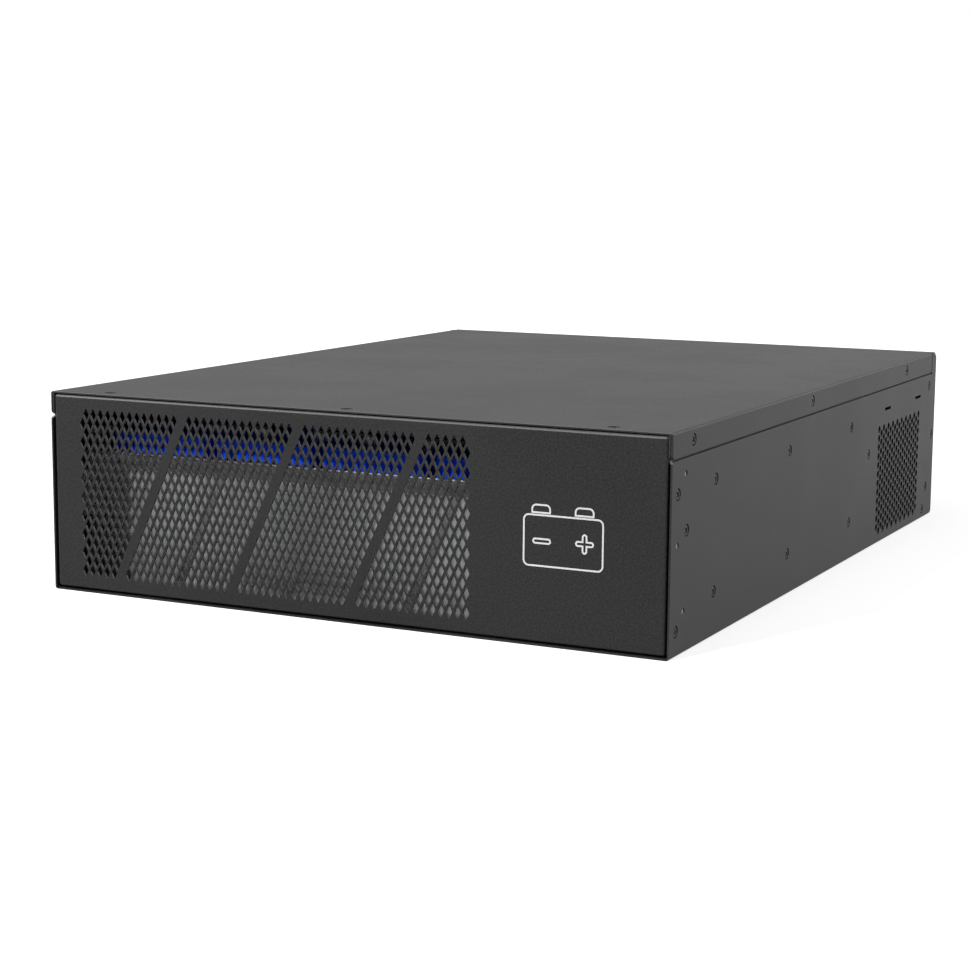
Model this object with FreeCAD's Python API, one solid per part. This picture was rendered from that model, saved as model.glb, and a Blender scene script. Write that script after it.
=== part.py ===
"""Rack-width battery cabinet: a folded steel case with a diamond grille front, holding twenty sealed blocks.

Millimetres. X runs to the right and Y to the rear, both seen from the front, and Z points up.
Every piece is drawn with its depth measured from the front face, then moved so that the origin lies
under the middle of the case.
"""
import FreeCAD, Part
import math
import os
from FreeCAD import Vector

# Outer case
WIDTH = 440.0
HEIGHT = 133.0
DEPTH = 585.0
SHEET = 1.2
BEND = 0.8
FIT = 0.3

# Cover skirt, and the step in the side walls that lets it lie flush
SKIRT = 15.2
SEAM = 0.8
STEP = SHEET + FIT
REAR_STRIP = 12.0
RELIEF = 1.5
NOTCH = 2.0
CORNER_R = 5.0

# Front and rear panels, set between the walls
PANEL_GAP = 1.5
PANEL_BEND = 1.8
FRONT_FLANGE = 16.0
REAR_FLANGE = 26.0
SLIT = 0.8

# Pads of the panel flanges at their side screws: distance from the panel's face, height
FRONT_PADS = ((9.8, 96.4), (9.8, 15.5))
REAR_PADS = ((19.9, 107.4), (7.6, 66.7), (19.9, 25.1))
PAD_FLATS = 9.0

# Tapped holes for rack ears: distance from the front, and heights from the walls' top, middle and bottom
EAR_BACK = 21.6
EAR_FRONT = 10.2
EAR_TOP_DROP = 9.9
EAR_MIDDLE = 66.2
EAR_BOTTOM = 25.6
EAR_HOLE_R = 1.65
COLLAR_FLATS = 7.0
COLLAR_LENGTH = 2.5

# Diamond grille in the front panel
GRILLE_SIDE_MARGIN = 21.3
GRILLE_END_MARGIN = 15.0
GRILLE_PITCH_X = 12.1
GRILLE_ROWS = 9
GRILLE_COLUMNS = 24
GRILLE_BARS = (12, 26, 40)
GRILLE_WEB = 3.4

# Vents and slots in the side walls, set out from the rear edge and the walls' top
VENT_SETBACK = 158.0
VENT_TOP_DROP = 30.0
VENT_BOTTOM = 15.0
VENT_PITCH_Y = 13.0
VENT_COLUMNS = 9
VENT_ROWS = 4
VENT_ACROSS = 12.6
SLOT_SETBACKS = (147.2, 60.7)
SLOT_LENGTH = 15.8
SLOT_HEIGHT = 2.2
SLOT_DROP = 16.7

# Battery bay: its place in the case and the sheets around it
THIN = 1.0
BAY_FRONT = 39.4
BAY_REAR_ROOM = 201.8
TRAY_END_GAP = 3.0
TRAY_RISE = 1.0
RETAINER_DROP = 12.0
RETAINER_FLARE = 12.0
RETAINER_FLANGE = 20.0
RETAINER_TAB_BOTTOM = 45.0
INSULATOR = 0.8

# Battery blocks, sized to fill the bay
COLUMNS = 5
ROWS = 4
BLOCK_HEADROOM = 30.0
BLOCK_CHAMFER = 2.0
COLUMN_GAP = 9.7
SIDE_GAP = 17.2
ROW_GAP = 2.0
BAY_SLACK = 0.9
SPACER_DROP = 16.0
POST_OFFSET = 22.0
POST_SIZE = 10.0
POST_HEIGHT = 3.0
LINK_WIDTH = 10.0
LINK_THICK = 2.0
BAR_WIDTH = 20.0
BAR_THICK = 1.5
BAR_TAB = 12.0

# Circuit breaker on the rear panel
BREAKER_MARGIN = 25.3
BREAKER_WIDTH = 36.0
BREAKER_HEIGHT = 80.0
BREAKER_BODY = 50.0
NOSE_HEIGHT = 45.0
NOSE_REACH = 6.0
HUB_R = 7.0
HUB_LENGTH = 20.0
HUB_CLEAR = 0.4
HUB_BACK = 5.0
LEVER_THICK = 5.0
LEVER_REACH = 17.0
LEVER_SWING = 60.0
BRACKET_FOOT = 5.0
BRACKET_HEIGHT = 22.0

# Connectors, earth stud and louvre slots on the rear panel
CONNECTOR_MARGINS = (147.0, 77.0)
CONNECTOR_WIDTH = 48.0
CONNECTOR_HEIGHT = 22.0
CONNECTOR_REACH = 12.0
CONNECTOR_BACK = 24.0
CONNECTOR_FLANGE = 5.0
CONNECTOR_FLANGE_THICK = 3.0
POLE_WIDTH = 17.0
POLE_HEIGHT = 14.0
POLE_OFFSET = 11.0
POLE_DEPTH = 24.0
CONTACT_WIDTH = 10.0
CONTACT_THICK = 3.0
CONTACT_TIP = 12.0
BUS_WIDTH = 8.0
BUS_THICK = 3.0
POSITIVE_BUS_BACK = 48.0
NEGATIVE_BUS_BACK = 34.0
STUD_MARGIN = 25.0
STUD_Z = 26.0
STUD_R = 3.0
STUD_REACH = 16.0
STUD_HEAD = 4.0
NUT_FLATS = 10.0
NUT_LENGTH = 5.0
LOUVRE_MARGINS = (92.0, 172.0)
LOUVRE_WIDTH = 62.0
LOUVRE_HEIGHT = 3.0
LOUVRE_PITCH = 8.0
LOUVRE_COUNT = 7

# Places that follow from the sizes above
INNER_X = WIDTH / 2 - SHEET
WALL_TOP = HEIGHT - SKIRT - SEAM
SKIRT_END = DEPTH - REAR_STRIP
PANEL_X = INNER_X - PANEL_GAP
PANEL_BOTTOM = SHEET + PANEL_GAP
PANEL_TOP = HEIGHT - PANEL_BOTTOM
EAR_HOLES = ((EAR_BACK, WALL_TOP - EAR_TOP_DROP), (EAR_FRONT, EAR_MIDDLE), (EAR_BACK, EAR_BOTTOM))
GRILLE_PITCH_Z = (PANEL_TOP - PANEL_BOTTOM - 2 * GRILLE_END_MARGIN) / (GRILLE_ROWS - 1)
VENT_PITCH_Z = (WALL_TOP - VENT_TOP_DROP - VENT_BOTTOM - VENT_ACROSS) / (VENT_ROWS - 1)
TRAY_X = INNER_X - FIT
BAY_LENGTH = DEPTH - BAY_FRONT - BAY_REAR_ROOM
TRAY_START = BAY_FRONT + TRAY_END_GAP
TRAY_LENGTH = BAY_LENGTH - 2 * TRAY_END_GAP
BAY_X = TRAY_X - THIN - BEND
BLOCK_WIDTH = (2 * (BAY_X - SIDE_GAP) - (COLUMNS - 1) * COLUMN_GAP) / COLUMNS
BLOCK_DEPTH = (BAY_LENGTH - 2 * BAY_SLACK - (ROWS - 1) * ROW_GAP) / ROWS
BLOCK_BASE = SHEET + THIN + INSULATOR
BLOCK_TOP = HEIGHT - BLOCK_HEADROOM
POST_TOP = BLOCK_TOP + POST_HEIGHT
RETAINER_TOP = BLOCK_TOP - RETAINER_DROP
REAR_INNER = DEPTH - SHEET
BREAKER_X = BREAKER_MARGIN - PANEL_X
BREAKER_TOP = POST_TOP
BREAKER_BOTTOM = BREAKER_TOP - BREAKER_HEIGHT
BREAKER_Z = (BREAKER_TOP + BREAKER_BOTTOM) / 2
BREAKER_BACK = REAR_INNER - BREAKER_BODY
NOSE_FACE = DEPTH + NOSE_REACH
HUB_Y = NOSE_FACE - HUB_BACK
CONNECTOR_XS = [PANEL_X - margin for margin in CONNECTOR_MARGINS]
CONNECTOR_Z = BREAKER_Z
CONNECTOR_FACE = DEPTH + CONNECTOR_REACH
STUD_X = PANEL_X - STUD_MARGIN
LOUVRE_XS = [margin - PANEL_X for margin in LOUVRE_MARGINS]
LOUVRE_BOTTOM = BREAKER_Z - ((LOUVRE_COUNT - 1) * LOUVRE_PITCH + LOUVRE_HEIGHT) / 2

ORIGIN = Vector(0, 0, 0)


def box(x0, x1, y0, y1, z0, z1):
    """Block between two corners."""
    return Part.makeBox(x1 - x0, y1 - y0, z1 - z0, Vector(x0, y0, z0))


def rod_x(radius, x0, x1, y, z):
    """Round bar along X."""
    return Part.makeCylinder(radius, x1 - x0, Vector(x0, y, z), Vector(1, 0, 0))


def rod_y(radius, y0, y1, x, z):
    """Round bar along Y."""
    return Part.makeCylinder(radius, y1 - y0, Vector(x, y0, z), Vector(0, 1, 0))


def prism(corners, sweep):
    """Straight prism on a closed outline."""
    return Part.Face(Part.makePolygon(corners + corners[:1])).extrude(sweep)


def hexagon_x(flats, x0, x1, y, z):
    """Six-sided bar along X, with two corners pointing up and down."""
    reach = flats / math.sqrt(3)
    turns = [math.radians(30 + 60 * i) for i in range(6)]
    corners = [Vector(x0, y + reach * math.cos(a), z + reach * math.sin(a)) for a in turns]
    return prism(corners, Vector(x1 - x0, 0, 0))


def mirrored_pair(shape):
    """The shape and its mirror image on the other side of the case."""
    return [shape, shape.mirror(ORIGIN, Vector(1, 0, 0))]


def joined(shapes):
    """One solid from shapes that meet, with no seams left on its faces."""
    return shapes[0].fuse(shapes[1:]).removeSplitter()


def shifted_path(points, distance):
    """The path moved sideways to its left, with mitred corners."""
    runs = [(b - a).normalize() for a, b in zip(points, points[1:])]
    lefts = [Vector(-run.y, run.x, 0) for run in runs]
    moved = []
    for i, point in enumerate(points):
        before = lefts[max(i - 1, 0)]
        after = lefts[min(i, len(lefts) - 1)]
        moved.append(point + (before + after) * (distance / (1 + before.dot(after))))
    return moved


def rounded_edges(points, left_radius, right_radius):
    """Lines along a path, with an arc in place of each corner."""
    edges = []
    start = points[0]
    for before, corner, after in zip(points, points[1:], points[2:]):
        come = (corner - before).normalize()
        go = (after - corner).normalize()
        turn = come.cross(go).z
        radius = left_radius if turn > 0 else right_radius
        reach = radius * math.tan(come.getAngle(go) / 2)
        first = corner - come * reach
        last = corner + go * reach
        centre = first + Vector(-come.y, come.x, 0) * math.copysign(radius, turn)
        middle = centre + (corner - centre).normalize() * radius
        edges.append(Part.makeLine(start, first))
        edges.append(Part.Arc(first, middle, last).toShape())
        start = last
    edges.append(Part.makeLine(start, points[-1]))
    return edges


def folded(outline, length, sheet=SHEET, bend=BEND):
    """Sheet folded along an outline in (across, up), with its metal on the left, and swept along Y."""
    points = [Vector(u, v, 0) for u, v in outline]
    inner = shifted_path(points, sheet)
    edges = rounded_edges(points, bend + sheet, bend)
    edges += rounded_edges(inner, bend, bend + sheet)
    edges.append(Part.makeLine(points[0], inner[0]))
    edges.append(Part.makeLine(points[-1], inner[-1]))
    face = Part.Face(Part.Wire(Part.__sortEdges__(edges)))
    face.rotate(ORIGIN, Vector(1, 0, 0), 90)
    return face.extrude(Vector(0, length, 0))


def pan(flange):
    """Panel face with four flanges turned back from it, slit at the corners behind the bends."""
    block = box(-PANEL_X, PANEL_X, 0, flange, PANEL_BOTTOM, PANEL_TOP)
    front_edges = [edge for edge in block.Edges if edge.BoundBox.YMax < FIT]
    inner_x = PANEL_X - SHEET
    core = box(-inner_x, inner_x, SHEET, flange, PANEL_BOTTOM + SHEET, PANEL_TOP - SHEET)
    slit_x = PANEL_X - PANEL_BEND
    slits = mirrored_pair(box(slit_x - SLIT, slit_x, PANEL_BEND, flange, PANEL_BOTTOM, PANEL_TOP))
    return block.makeFillet(PANEL_BEND, front_edges).cut([core] + slits)


def panel_pads(places):
    """Pads on the side flanges that meet the walls at the screws."""
    pads = []
    for y, z in places:
        pads += mirrored_pair(hexagon_x(PAD_FLATS, PANEL_X, INNER_X, y, z))
    return pads


def diamond(x, z):
    """Cutter for one diamond hole of the grille."""
    slope = math.atan2(GRILLE_PITCH_Z, GRILLE_PITCH_X / 2)
    half_x = GRILLE_PITCH_X / 2 - GRILLE_WEB / 2 / math.sin(slope)
    half_z = half_x * math.tan(slope)
    corners = [(x - half_x, z), (x, z - half_z), (x + half_x, z), (x, z + half_z)]
    return prism([Vector(u, 0, v) for u, v in corners], Vector(0, SHEET, 0))


def grille_cutters():
    """Staggered diamonds in rows, leaving out one place in each row for every slanting bar."""
    left = GRILLE_SIDE_MARGIN - PANEL_X
    top = PANEL_TOP - GRILLE_END_MARGIN
    cutters = []
    for row in range(GRILLE_ROWS):
        for place in range(row % 2, 2 * GRILLE_COLUMNS, 2):
            if place + row not in GRILLE_BARS:
                cutters.append(diamond(left + place * GRILLE_PITCH_X / 2, top - row * GRILLE_PITCH_Z))
    return cutters


def front_panel():
    """Grille panel, notched in its side flanges to clear the middle ear collars."""
    clear = COLLAR_FLATS
    y0 = EAR_FRONT - clear
    z0 = EAR_MIDDLE - clear
    z1 = EAR_MIDDLE + clear
    notches = mirrored_pair(box(PANEL_X - 2 * SHEET, PANEL_X, y0, FRONT_FLANGE, z0, z1))
    body = pan(FRONT_FLANGE).cut(notches + grille_cutters())
    return joined([body] + panel_pads(FRONT_PADS))


def chassis_outline(stepped):
    """Half turn round the case from the left wall's top to the right wall's, outside face."""
    half = WIDTH / 2
    if stepped:
        flange = half - STEP
        tops = [(flange, HEIGHT - SHEET), (flange, WALL_TOP), (half, WALL_TOP - STEP)]
    else:
        tops = [(half, HEIGHT)]
    left = [(-x, z) for x, z in tops] + [(-half, 0)]
    return left + [(-x, z) for x, z in reversed(left)]


def wall_cutters():
    """Vents, slots, ear holes and corner reliefs, each cut straight through both walls."""
    reach = WIDTH / 2 + SHEET
    cutters = []
    for column in range(VENT_COLUMNS):
        odd = column % 2
        for row in range(VENT_ROWS - odd):
            y = DEPTH - VENT_SETBACK + VENT_ACROSS / 2 + column * VENT_PITCH_Y
            z = VENT_BOTTOM + VENT_ACROSS / 2 + (row + odd / 2) * VENT_PITCH_Z
            cutters.append(hexagon_x(VENT_ACROSS, -reach, reach, y, z))
    slot_z = WALL_TOP - SLOT_DROP
    for setback in SLOT_SETBACKS:
        y = DEPTH - setback
        cutters.append(box(-reach, reach, y, y + SLOT_LENGTH, slot_z, slot_z + SLOT_HEIGHT))
    for y, z in EAR_HOLES:
        cutters.append(rod_x(EAR_HOLE_R, -reach, reach, y, z))
    cutters.append(corner_notch(WALL_TOP))
    corner = box(-reach, reach, DEPTH - CORNER_R, DEPTH, 0, CORNER_R)
    cutters.append(corner.cut(rod_x(CORNER_R, -reach, reach, DEPTH - CORNER_R, CORNER_R)))
    return cutters


def corner_notch(z):
    """Cutter for the small relief at the front end of the seam, in both walls."""
    reach = WIDTH / 2 + SHEET
    corners = [(-NOTCH, z), (0, z - NOTCH), (NOTCH, z), (0, z + NOTCH)]
    return prism([Vector(-reach, u, v) for u, v in corners], Vector(2 * reach, 0, 0))


def ear_collars():
    """Six-sided collars inside both walls that give the rack-ear threads their length."""
    collars = []
    for y, z in EAR_HOLES:
        collars += mirrored_pair(hexagon_x(COLLAR_FLATS, INNER_X - COLLAR_LENGTH, INNER_X, y, z))
    return collars


def chassis():
    """Bottom and side walls in one folded sheet, stepped in under the cover's skirts."""
    stepped = folded(chassis_outline(True), SKIRT_END)
    strip = folded(chassis_outline(False), REAR_STRIP)
    strip.translate(Vector(0, SKIRT_END, 0))
    low = WALL_TOP - STEP
    slots = mirrored_pair(box(INNER_X - 2 * STEP, WIDTH / 2, SKIRT_END - RELIEF, SKIRT_END, low, HEIGHT))
    return joined([stepped, strip] + ear_collars()).cut(slots + wall_cutters())


def top_cover():
    """Lid with two tightly bent skirts, whose plate runs on between the walls' rear strips."""
    half = WIDTH / 2
    low = HEIGHT - SKIRT
    outline = [(half, low), (half, HEIGHT), (-half, HEIGHT), (-half, low)]
    tail_x = INNER_X - FIT
    skirted = folded(outline, SKIRT_END - RELIEF, bend=FIT)
    tail = box(-tail_x, tail_x, SKIRT_END - RELIEF, DEPTH, HEIGHT - SHEET, HEIGHT)
    return joined([skirted, tail]).cut(corner_notch(low))


def rear_panel():
    """Back of the case, with the cut-outs for what it carries."""
    body = joined([pan(REAR_FLANGE)] + panel_pads(REAR_PADS))
    body.rotate(ORIGIN, Vector(0, 0, 1), 180)
    body.translate(Vector(0, DEPTH, 0))
    half = BREAKER_WIDTH / 2 + FIT
    rise = NOSE_HEIGHT / 2 + FIT
    cuts = [box(BREAKER_X - half, BREAKER_X + half, REAR_INNER, DEPTH, BREAKER_Z - rise, BREAKER_Z + rise)]
    half = CONNECTOR_WIDTH / 2 + FIT
    rise = CONNECTOR_HEIGHT / 2 + FIT
    for x in CONNECTOR_XS:
        cuts.append(box(x - half, x + half, REAR_INNER, DEPTH, CONNECTOR_Z - rise, CONNECTOR_Z + rise))
    for x in LOUVRE_XS:
        for i in range(LOUVRE_COUNT):
            z = LOUVRE_BOTTOM + i * LOUVRE_PITCH
            half = LOUVRE_WIDTH / 2
            cuts.append(box(x - half, x + half, REAR_INNER, DEPTH, z, z + LOUVRE_HEIGHT))
    cuts.append(rod_y(STUD_R + FIT, REAR_INNER, DEPTH, STUD_X, STUD_Z))
    return body.cut(cuts)


def battery_tray():
    """Plain folded channel screwed to both walls."""
    top = BLOCK_TOP + TRAY_RISE
    outline = [(-TRAY_X, top), (-TRAY_X, SHEET), (TRAY_X, SHEET), (TRAY_X, top)]
    channel = folded(outline, TRAY_LENGTH, THIN)
    channel.translate(Vector(0, TRAY_START, 0))
    return channel


def front_retainer():
    """Galvanised wall in front of the blocks, with a foot, a top edge flared at 45 degrees and side tabs."""
    back = BAY_FRONT
    face = back - THIN
    toe = back - RETAINER_FLANGE
    base = SHEET + THIN
    bend = RETAINER_TOP - RETAINER_FLARE
    tip = back - RETAINER_FLARE
    cap = THIN / math.sqrt(2)
    outline = [
        (face, base), (face, bend - THIN * math.tan(math.pi / 8)), (tip - cap, RETAINER_TOP - cap),
        (tip, RETAINER_TOP), (back, bend), (back, base),
    ]
    wall = prism([Vector(-TRAY_X, y, z) for y, z in outline], Vector(2 * TRAY_X, 0, 0))
    foot = box(-TRAY_X + THIN, TRAY_X - THIN, toe, back, SHEET, SHEET + THIN)
    tabs = mirrored_pair(box(TRAY_X - THIN, TRAY_X, toe, back, RETAINER_TAB_BOTTOM, bend - 2 * THIN))
    return joined([wall, foot] + tabs)


def rear_retainer():
    """The same wall turned round, behind the last row."""
    return front_retainer().mirror(Vector(0, BAY_FRONT + BAY_LENGTH / 2, 0), Vector(0, 1, 0))


def insulator():
    """Thin plastic sheet under the blocks."""
    bottom = SHEET + THIN
    return box(-BAY_X, BAY_X, TRAY_START, TRAY_START + TRAY_LENGTH, bottom, bottom + INSULATOR)


def column_x(column):
    """Middle of a column of blocks."""
    return (column - (COLUMNS - 1) / 2) * (BLOCK_WIDTH + COLUMN_GAP)


def row_y(row):
    """Middle of a row of blocks."""
    return BAY_FRONT + BAY_SLACK + BLOCK_DEPTH / 2 + row * (BLOCK_DEPTH + ROW_GAP)


def battery(column, row):
    """Sealed block with bevelled corners."""
    x = column_x(column)
    y = row_y(row)
    half_x = BLOCK_WIDTH / 2
    half_y = BLOCK_DEPTH / 2
    block = box(x - half_x, x + half_x, y - half_y, y + half_y, BLOCK_BASE, BLOCK_TOP)
    upright = [edge for edge in block.Edges if edge.BoundBox.ZLength > BLOCK_CHAMFER]
    return block.makeChamfer(BLOCK_CHAMFER, upright)


def foam_strip(x0, x1):
    """Foam strip that keeps the columns apart."""
    start = row_y(0) - BLOCK_DEPTH / 2
    end = row_y(ROWS - 1) + BLOCK_DEPTH / 2
    return box(x0 + FIT, x1 - FIT, start, end, BLOCK_BASE, BLOCK_TOP - SPACER_DROP)


def column_spacer(index):
    """Strip between two columns."""
    return foam_strip(column_x(index) + BLOCK_WIDTH / 2, column_x(index + 1) - BLOCK_WIDTH / 2)


def side_pads():
    """Strips between the outer columns and the tray's walls."""
    pad = foam_strip(column_x(COLUMNS - 1) + BLOCK_WIDTH / 2, BAY_X)
    return Part.makeCompound(mirrored_pair(pad))


def post_xy(column, row, side):
    """Middle of a terminal post: side is -1 for the left one and 1 for the right one."""
    return column_x(column) + side * POST_OFFSET, row_y(row)


def terminal_posts():
    """Two flat posts on every block."""
    posts = []
    half = POST_SIZE / 2
    for column in range(COLUMNS):
        for row in range(ROWS):
            for side in (-1, 1):
                x, y = post_xy(column, row, side)
                posts.append(box(x - half, x + half, y - half, y + half, BLOCK_TOP, POST_TOP))
    return Part.makeCompound(posts)


def flat_bar(start, end):
    """Flat link lying on two posts, along X or along Y."""
    half = LINK_WIDTH / 2
    x0, x1 = sorted((start[0], end[0]))
    y0, y1 = sorted((start[1], end[1]))
    return box(x0 - half, x1 + half, y0 - half, y1 + half, POST_TOP, POST_TOP + LINK_THICK)


def series_links():
    """Links that join the blocks in one string, to and fro along the rows."""
    links = []
    for row in range(ROWS):
        for column in range(COLUMNS - 1):
            links.append(flat_bar(post_xy(column, row, 1), post_xy(column + 1, row, -1)))
    for row in range(ROWS - 1):
        if row % 2 == 0:
            ends = [post_xy(COLUMNS - 1, r, 1) for r in (row, row + 1)]
        else:
            ends = [post_xy(0, r, -1) for r in (row, row + 1)]
        links.append(flat_bar(*ends))
    return Part.makeCompound(links)


def hold_down_bar(row):
    """Strap across the joint behind a row, turned down at the tray's walls."""
    y0 = row_y(row) + (BLOCK_DEPTH + ROW_GAP - BAR_WIDTH) / 2
    y1 = y0 + BAR_WIDTH
    end = TRAY_X - THIN
    top = BLOCK_TOP + BAR_THICK
    strap = box(-end, end, y0, y1, BLOCK_TOP, top)
    return joined([strap] + mirrored_pair(box(end - BAR_THICK, end, y0, y1, top - BAR_TAB, top)))


def breaker_pole_x(side):
    """Middle of one of the breaker's two poles."""
    return BREAKER_X + side * BREAKER_WIDTH / 4


def negative_lead():
    """Insulated bar from the string's last post to the breaker's inner pole."""
    post = post_xy(0, ROWS - 1, -1)
    return flat_bar(post, (post[0], BREAKER_BACK + LINK_WIDTH))


def positive_lead():
    """Insulated bar from the string's first post, along the tray's wall, to the breaker's outer pole."""
    post = post_xy(0, 0, -1)
    x = breaker_pole_x(-1)
    across = flat_bar((x, post[1]), post)
    along = flat_bar((x, post[1]), (x, BREAKER_BACK + LINK_WIDTH))
    return joined([across, along])


def breaker_body():
    """Two-pole breaker whose nose stands out of the panel's window, hollowed for the lever's hub."""
    low = BREAKER_BOTTOM
    top = BREAKER_TOP
    nose_low = BREAKER_Z - NOSE_HEIGHT / 2
    nose_top = BREAKER_Z + NOSE_HEIGHT / 2
    x = BREAKER_X - BREAKER_WIDTH / 2
    outline = [
        (BREAKER_BACK, low), (REAR_INNER, low), (REAR_INNER, nose_low), (NOSE_FACE, nose_low),
        (NOSE_FACE, nose_top), (REAR_INNER, nose_top), (REAR_INNER, top), (BREAKER_BACK, top),
    ]
    body = prism([Vector(x, y, z) for y, z in outline], Vector(BREAKER_WIDTH, 0, 0))
    half = HUB_LENGTH / 2 + HUB_CLEAR
    pocket = rod_x(HUB_R + HUB_CLEAR, BREAKER_X - half, BREAKER_X + half, HUB_Y, BREAKER_Z)
    rise = HUB_R + HUB_CLEAR
    mouth = box(BREAKER_X - half, BREAKER_X + half, HUB_Y, NOSE_FACE, BREAKER_Z - rise, BREAKER_Z + rise)
    return body.cut([pocket, mouth])


def breaker_lever():
    """Lever on its round hub, swung down to off."""
    half = HUB_LENGTH / 2
    hub = rod_x(HUB_R, BREAKER_X - half, BREAKER_X + half, HUB_Y, BREAKER_Z)
    rise = LEVER_THICK / 2
    tip = HUB_Y + LEVER_REACH
    paddle = box(BREAKER_X - half, BREAKER_X + half, HUB_Y, tip, BREAKER_Z - rise, BREAKER_Z + rise)
    lever = joined([hub, paddle])
    lever.rotate(Vector(BREAKER_X, HUB_Y, BREAKER_Z), Vector(1, 0, 0), -LEVER_SWING / 2)
    return lever


def breaker_bracket():
    """Strap behind the breaker, with two feet on the panel."""
    inside = BREAKER_WIDTH / 2 + FIT
    back = BREAKER_BACK - THIN
    foot = inside + BRACKET_FOOT
    x = BREAKER_X
    z0 = BREAKER_Z - BRACKET_HEIGHT / 2
    z1 = BREAKER_Z + BRACKET_HEIGHT / 2
    plate = box(x - inside - THIN, x + inside + THIN, back, BREAKER_BACK, z0, z1)
    arms = []
    for side in (-1, 1):
        near, far = sorted((x + side * inside, x + side * (inside + THIN)))
        arms.append(box(near, far, back, REAR_INNER, z0, z1))
        near, far = sorted((x + side * inside, x + side * foot))
        arms.append(box(near, far, REAR_INNER - THIN, REAR_INNER, z0, z1))
    return joined([plate] + arms)


def pole_places(x):
    """The two contact places of a connector: left positive, right negative."""
    return x - POLE_OFFSET, x + POLE_OFFSET


def pole_block(pole, width, height, y0, y1):
    """Block centred on a connector pole."""
    x = width / 2
    z = height / 2
    return box(pole - x, pole + x, y0, y1, CONNECTOR_Z - z, CONNECTOR_Z + z)


def connector(x):
    """Two-pole connector shell with a flange on the panel and a square well at each pole."""
    back = DEPTH - CONNECTOR_BACK
    rim = 2 * CONNECTOR_FLANGE
    body = pole_block(x, CONNECTOR_WIDTH, CONNECTOR_HEIGHT, back, CONNECTOR_FACE)
    outer = DEPTH + CONNECTOR_FLANGE_THICK
    flange = pole_block(x, CONNECTOR_WIDTH + rim, CONNECTOR_HEIGHT + rim, DEPTH, outer)
    cuts = []
    for pole in pole_places(x):
        cuts.append(pole_block(pole, POLE_WIDTH, POLE_HEIGHT, CONNECTOR_FACE - POLE_DEPTH, CONNECTOR_FACE))
        cuts.append(pole_block(pole, CONTACT_WIDTH, CONTACT_THICK, back, CONNECTOR_FACE))
    return joined([body, flange]).cut(cuts)


def contacts():
    """Flat contacts through the connector shells, with tails of two lengths for the two bus bars."""
    pins = []
    tip = CONNECTOR_FACE - CONTACT_TIP
    for x in CONNECTOR_XS:
        for pole, back in zip(pole_places(x), (POSITIVE_BUS_BACK, NEGATIVE_BUS_BACK)):
            pins.append(pole_block(pole, CONTACT_WIDTH, CONTACT_THICK, DEPTH - back, tip))
    return Part.makeCompound(pins)


def bus_bar(side, back, pole):
    """Bar from under a breaker pole to both connectors, rising to the tails of one polarity."""
    y0 = DEPTH - back
    y1 = y0 + BUS_WIDTH
    top = BREAKER_BOTTOM
    low = top - BUS_THICK
    tail = CONNECTOR_Z - CONTACT_THICK / 2
    last = pole_places(CONNECTOR_XS[-1])[pole]
    half = BUS_WIDTH / 2
    shapes = [box(breaker_pole_x(side) - half, last + half, y0, y1, low, top)]
    for x in CONNECTOR_XS:
        riser = pole_places(x)[pole]
        shapes.append(box(riser - half, riser + half, y0, y1, low, tail))
    return joined(shapes)


def hexagon_y(y0, y1):
    """Six-sided bar along Y on the earth stud's axis."""
    bar = hexagon_x(NUT_FLATS, 0, y1 - y0, 0, 0)
    bar.rotate(ORIGIN, Vector(0, 0, 1), 90)
    bar.translate(Vector(STUD_X, y0, STUD_Z))
    return bar


def earth_stud():
    """Bolt through the panel, with its six-sided head inside."""
    head = hexagon_y(REAR_INNER - STUD_HEAD, REAR_INNER)
    shank = rod_y(STUD_R, REAR_INNER, DEPTH + STUD_REACH, STUD_X, STUD_Z)
    return joined([head, shank])


def earth_nut():
    """Six-sided nut on the stud, against the panel."""
    end = DEPTH + NUT_LENGTH
    return hexagon_y(DEPTH, end).cut(rod_y(STUD_R, DEPTH, end, STUD_X, STUD_Z))


def case_pieces():
    """The folded case and what is fixed in it."""
    return {
        "chassis": chassis(),
        "top_cover": top_cover(),
        "front_panel": front_panel(),
        "rear_panel": rear_panel(),
        "battery_tray": battery_tray(),
        "front_retainer": front_retainer(),
        "rear_retainer": rear_retainer(),
        "hold_down_bar_front": hold_down_bar(0),
        "hold_down_bar_rear": hold_down_bar(ROWS - 2),
    }


def battery_pieces():
    """The blocks, what packs them and what joins them."""
    named = {
        "insulating_sheet": insulator(),
        "side_pads": side_pads(),
        "terminal_posts": terminal_posts(),
        "series_links": series_links(),
        "positive_lead": positive_lead(),
        "negative_lead": negative_lead(),
    }
    for row in range(ROWS):
        for column in range(COLUMNS):
            named[f"battery_{row * COLUMNS + column + 1:02d}"] = battery(column, row)
    for index in range(COLUMNS - 1):
        named[f"column_spacer_{index + 1}"] = column_spacer(index)
    return named


def rear_pieces():
    """What the rear panel carries."""
    named = {
        "breaker_body": breaker_body(),
        "breaker_lever": breaker_lever(),
        "breaker_bracket": breaker_bracket(),
        "connector_contacts": contacts(),
        "positive_bus": bus_bar(-1, POSITIVE_BUS_BACK, 0),
        "negative_bus": bus_bar(1, NEGATIVE_BUS_BACK, 1),
        "earth_stud": earth_stud(),
        "earth_nut": earth_nut(),
    }
    for index, x in enumerate(CONNECTOR_XS):
        named[f"connector_{index + 1}"] = connector(x)
    return named


os.makedirs("parts", exist_ok=True)
for name, shape in {**case_pieces(), **battery_pieces(), **rear_pieces()}.items():
    shape.translate(Vector(0, -DEPTH / 2, 0))
    shape.exportStep(f"parts/{name}.step")
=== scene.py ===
"""Looks of the rack-width battery cabinet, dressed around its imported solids, in metres."""
import logging
import math
from contextlib import contextmanager
from dataclasses import dataclass
from enum import Enum
from functools import cache
from typing import Any, Callable, Iterable, Iterator, NamedTuple, Sequence

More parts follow.
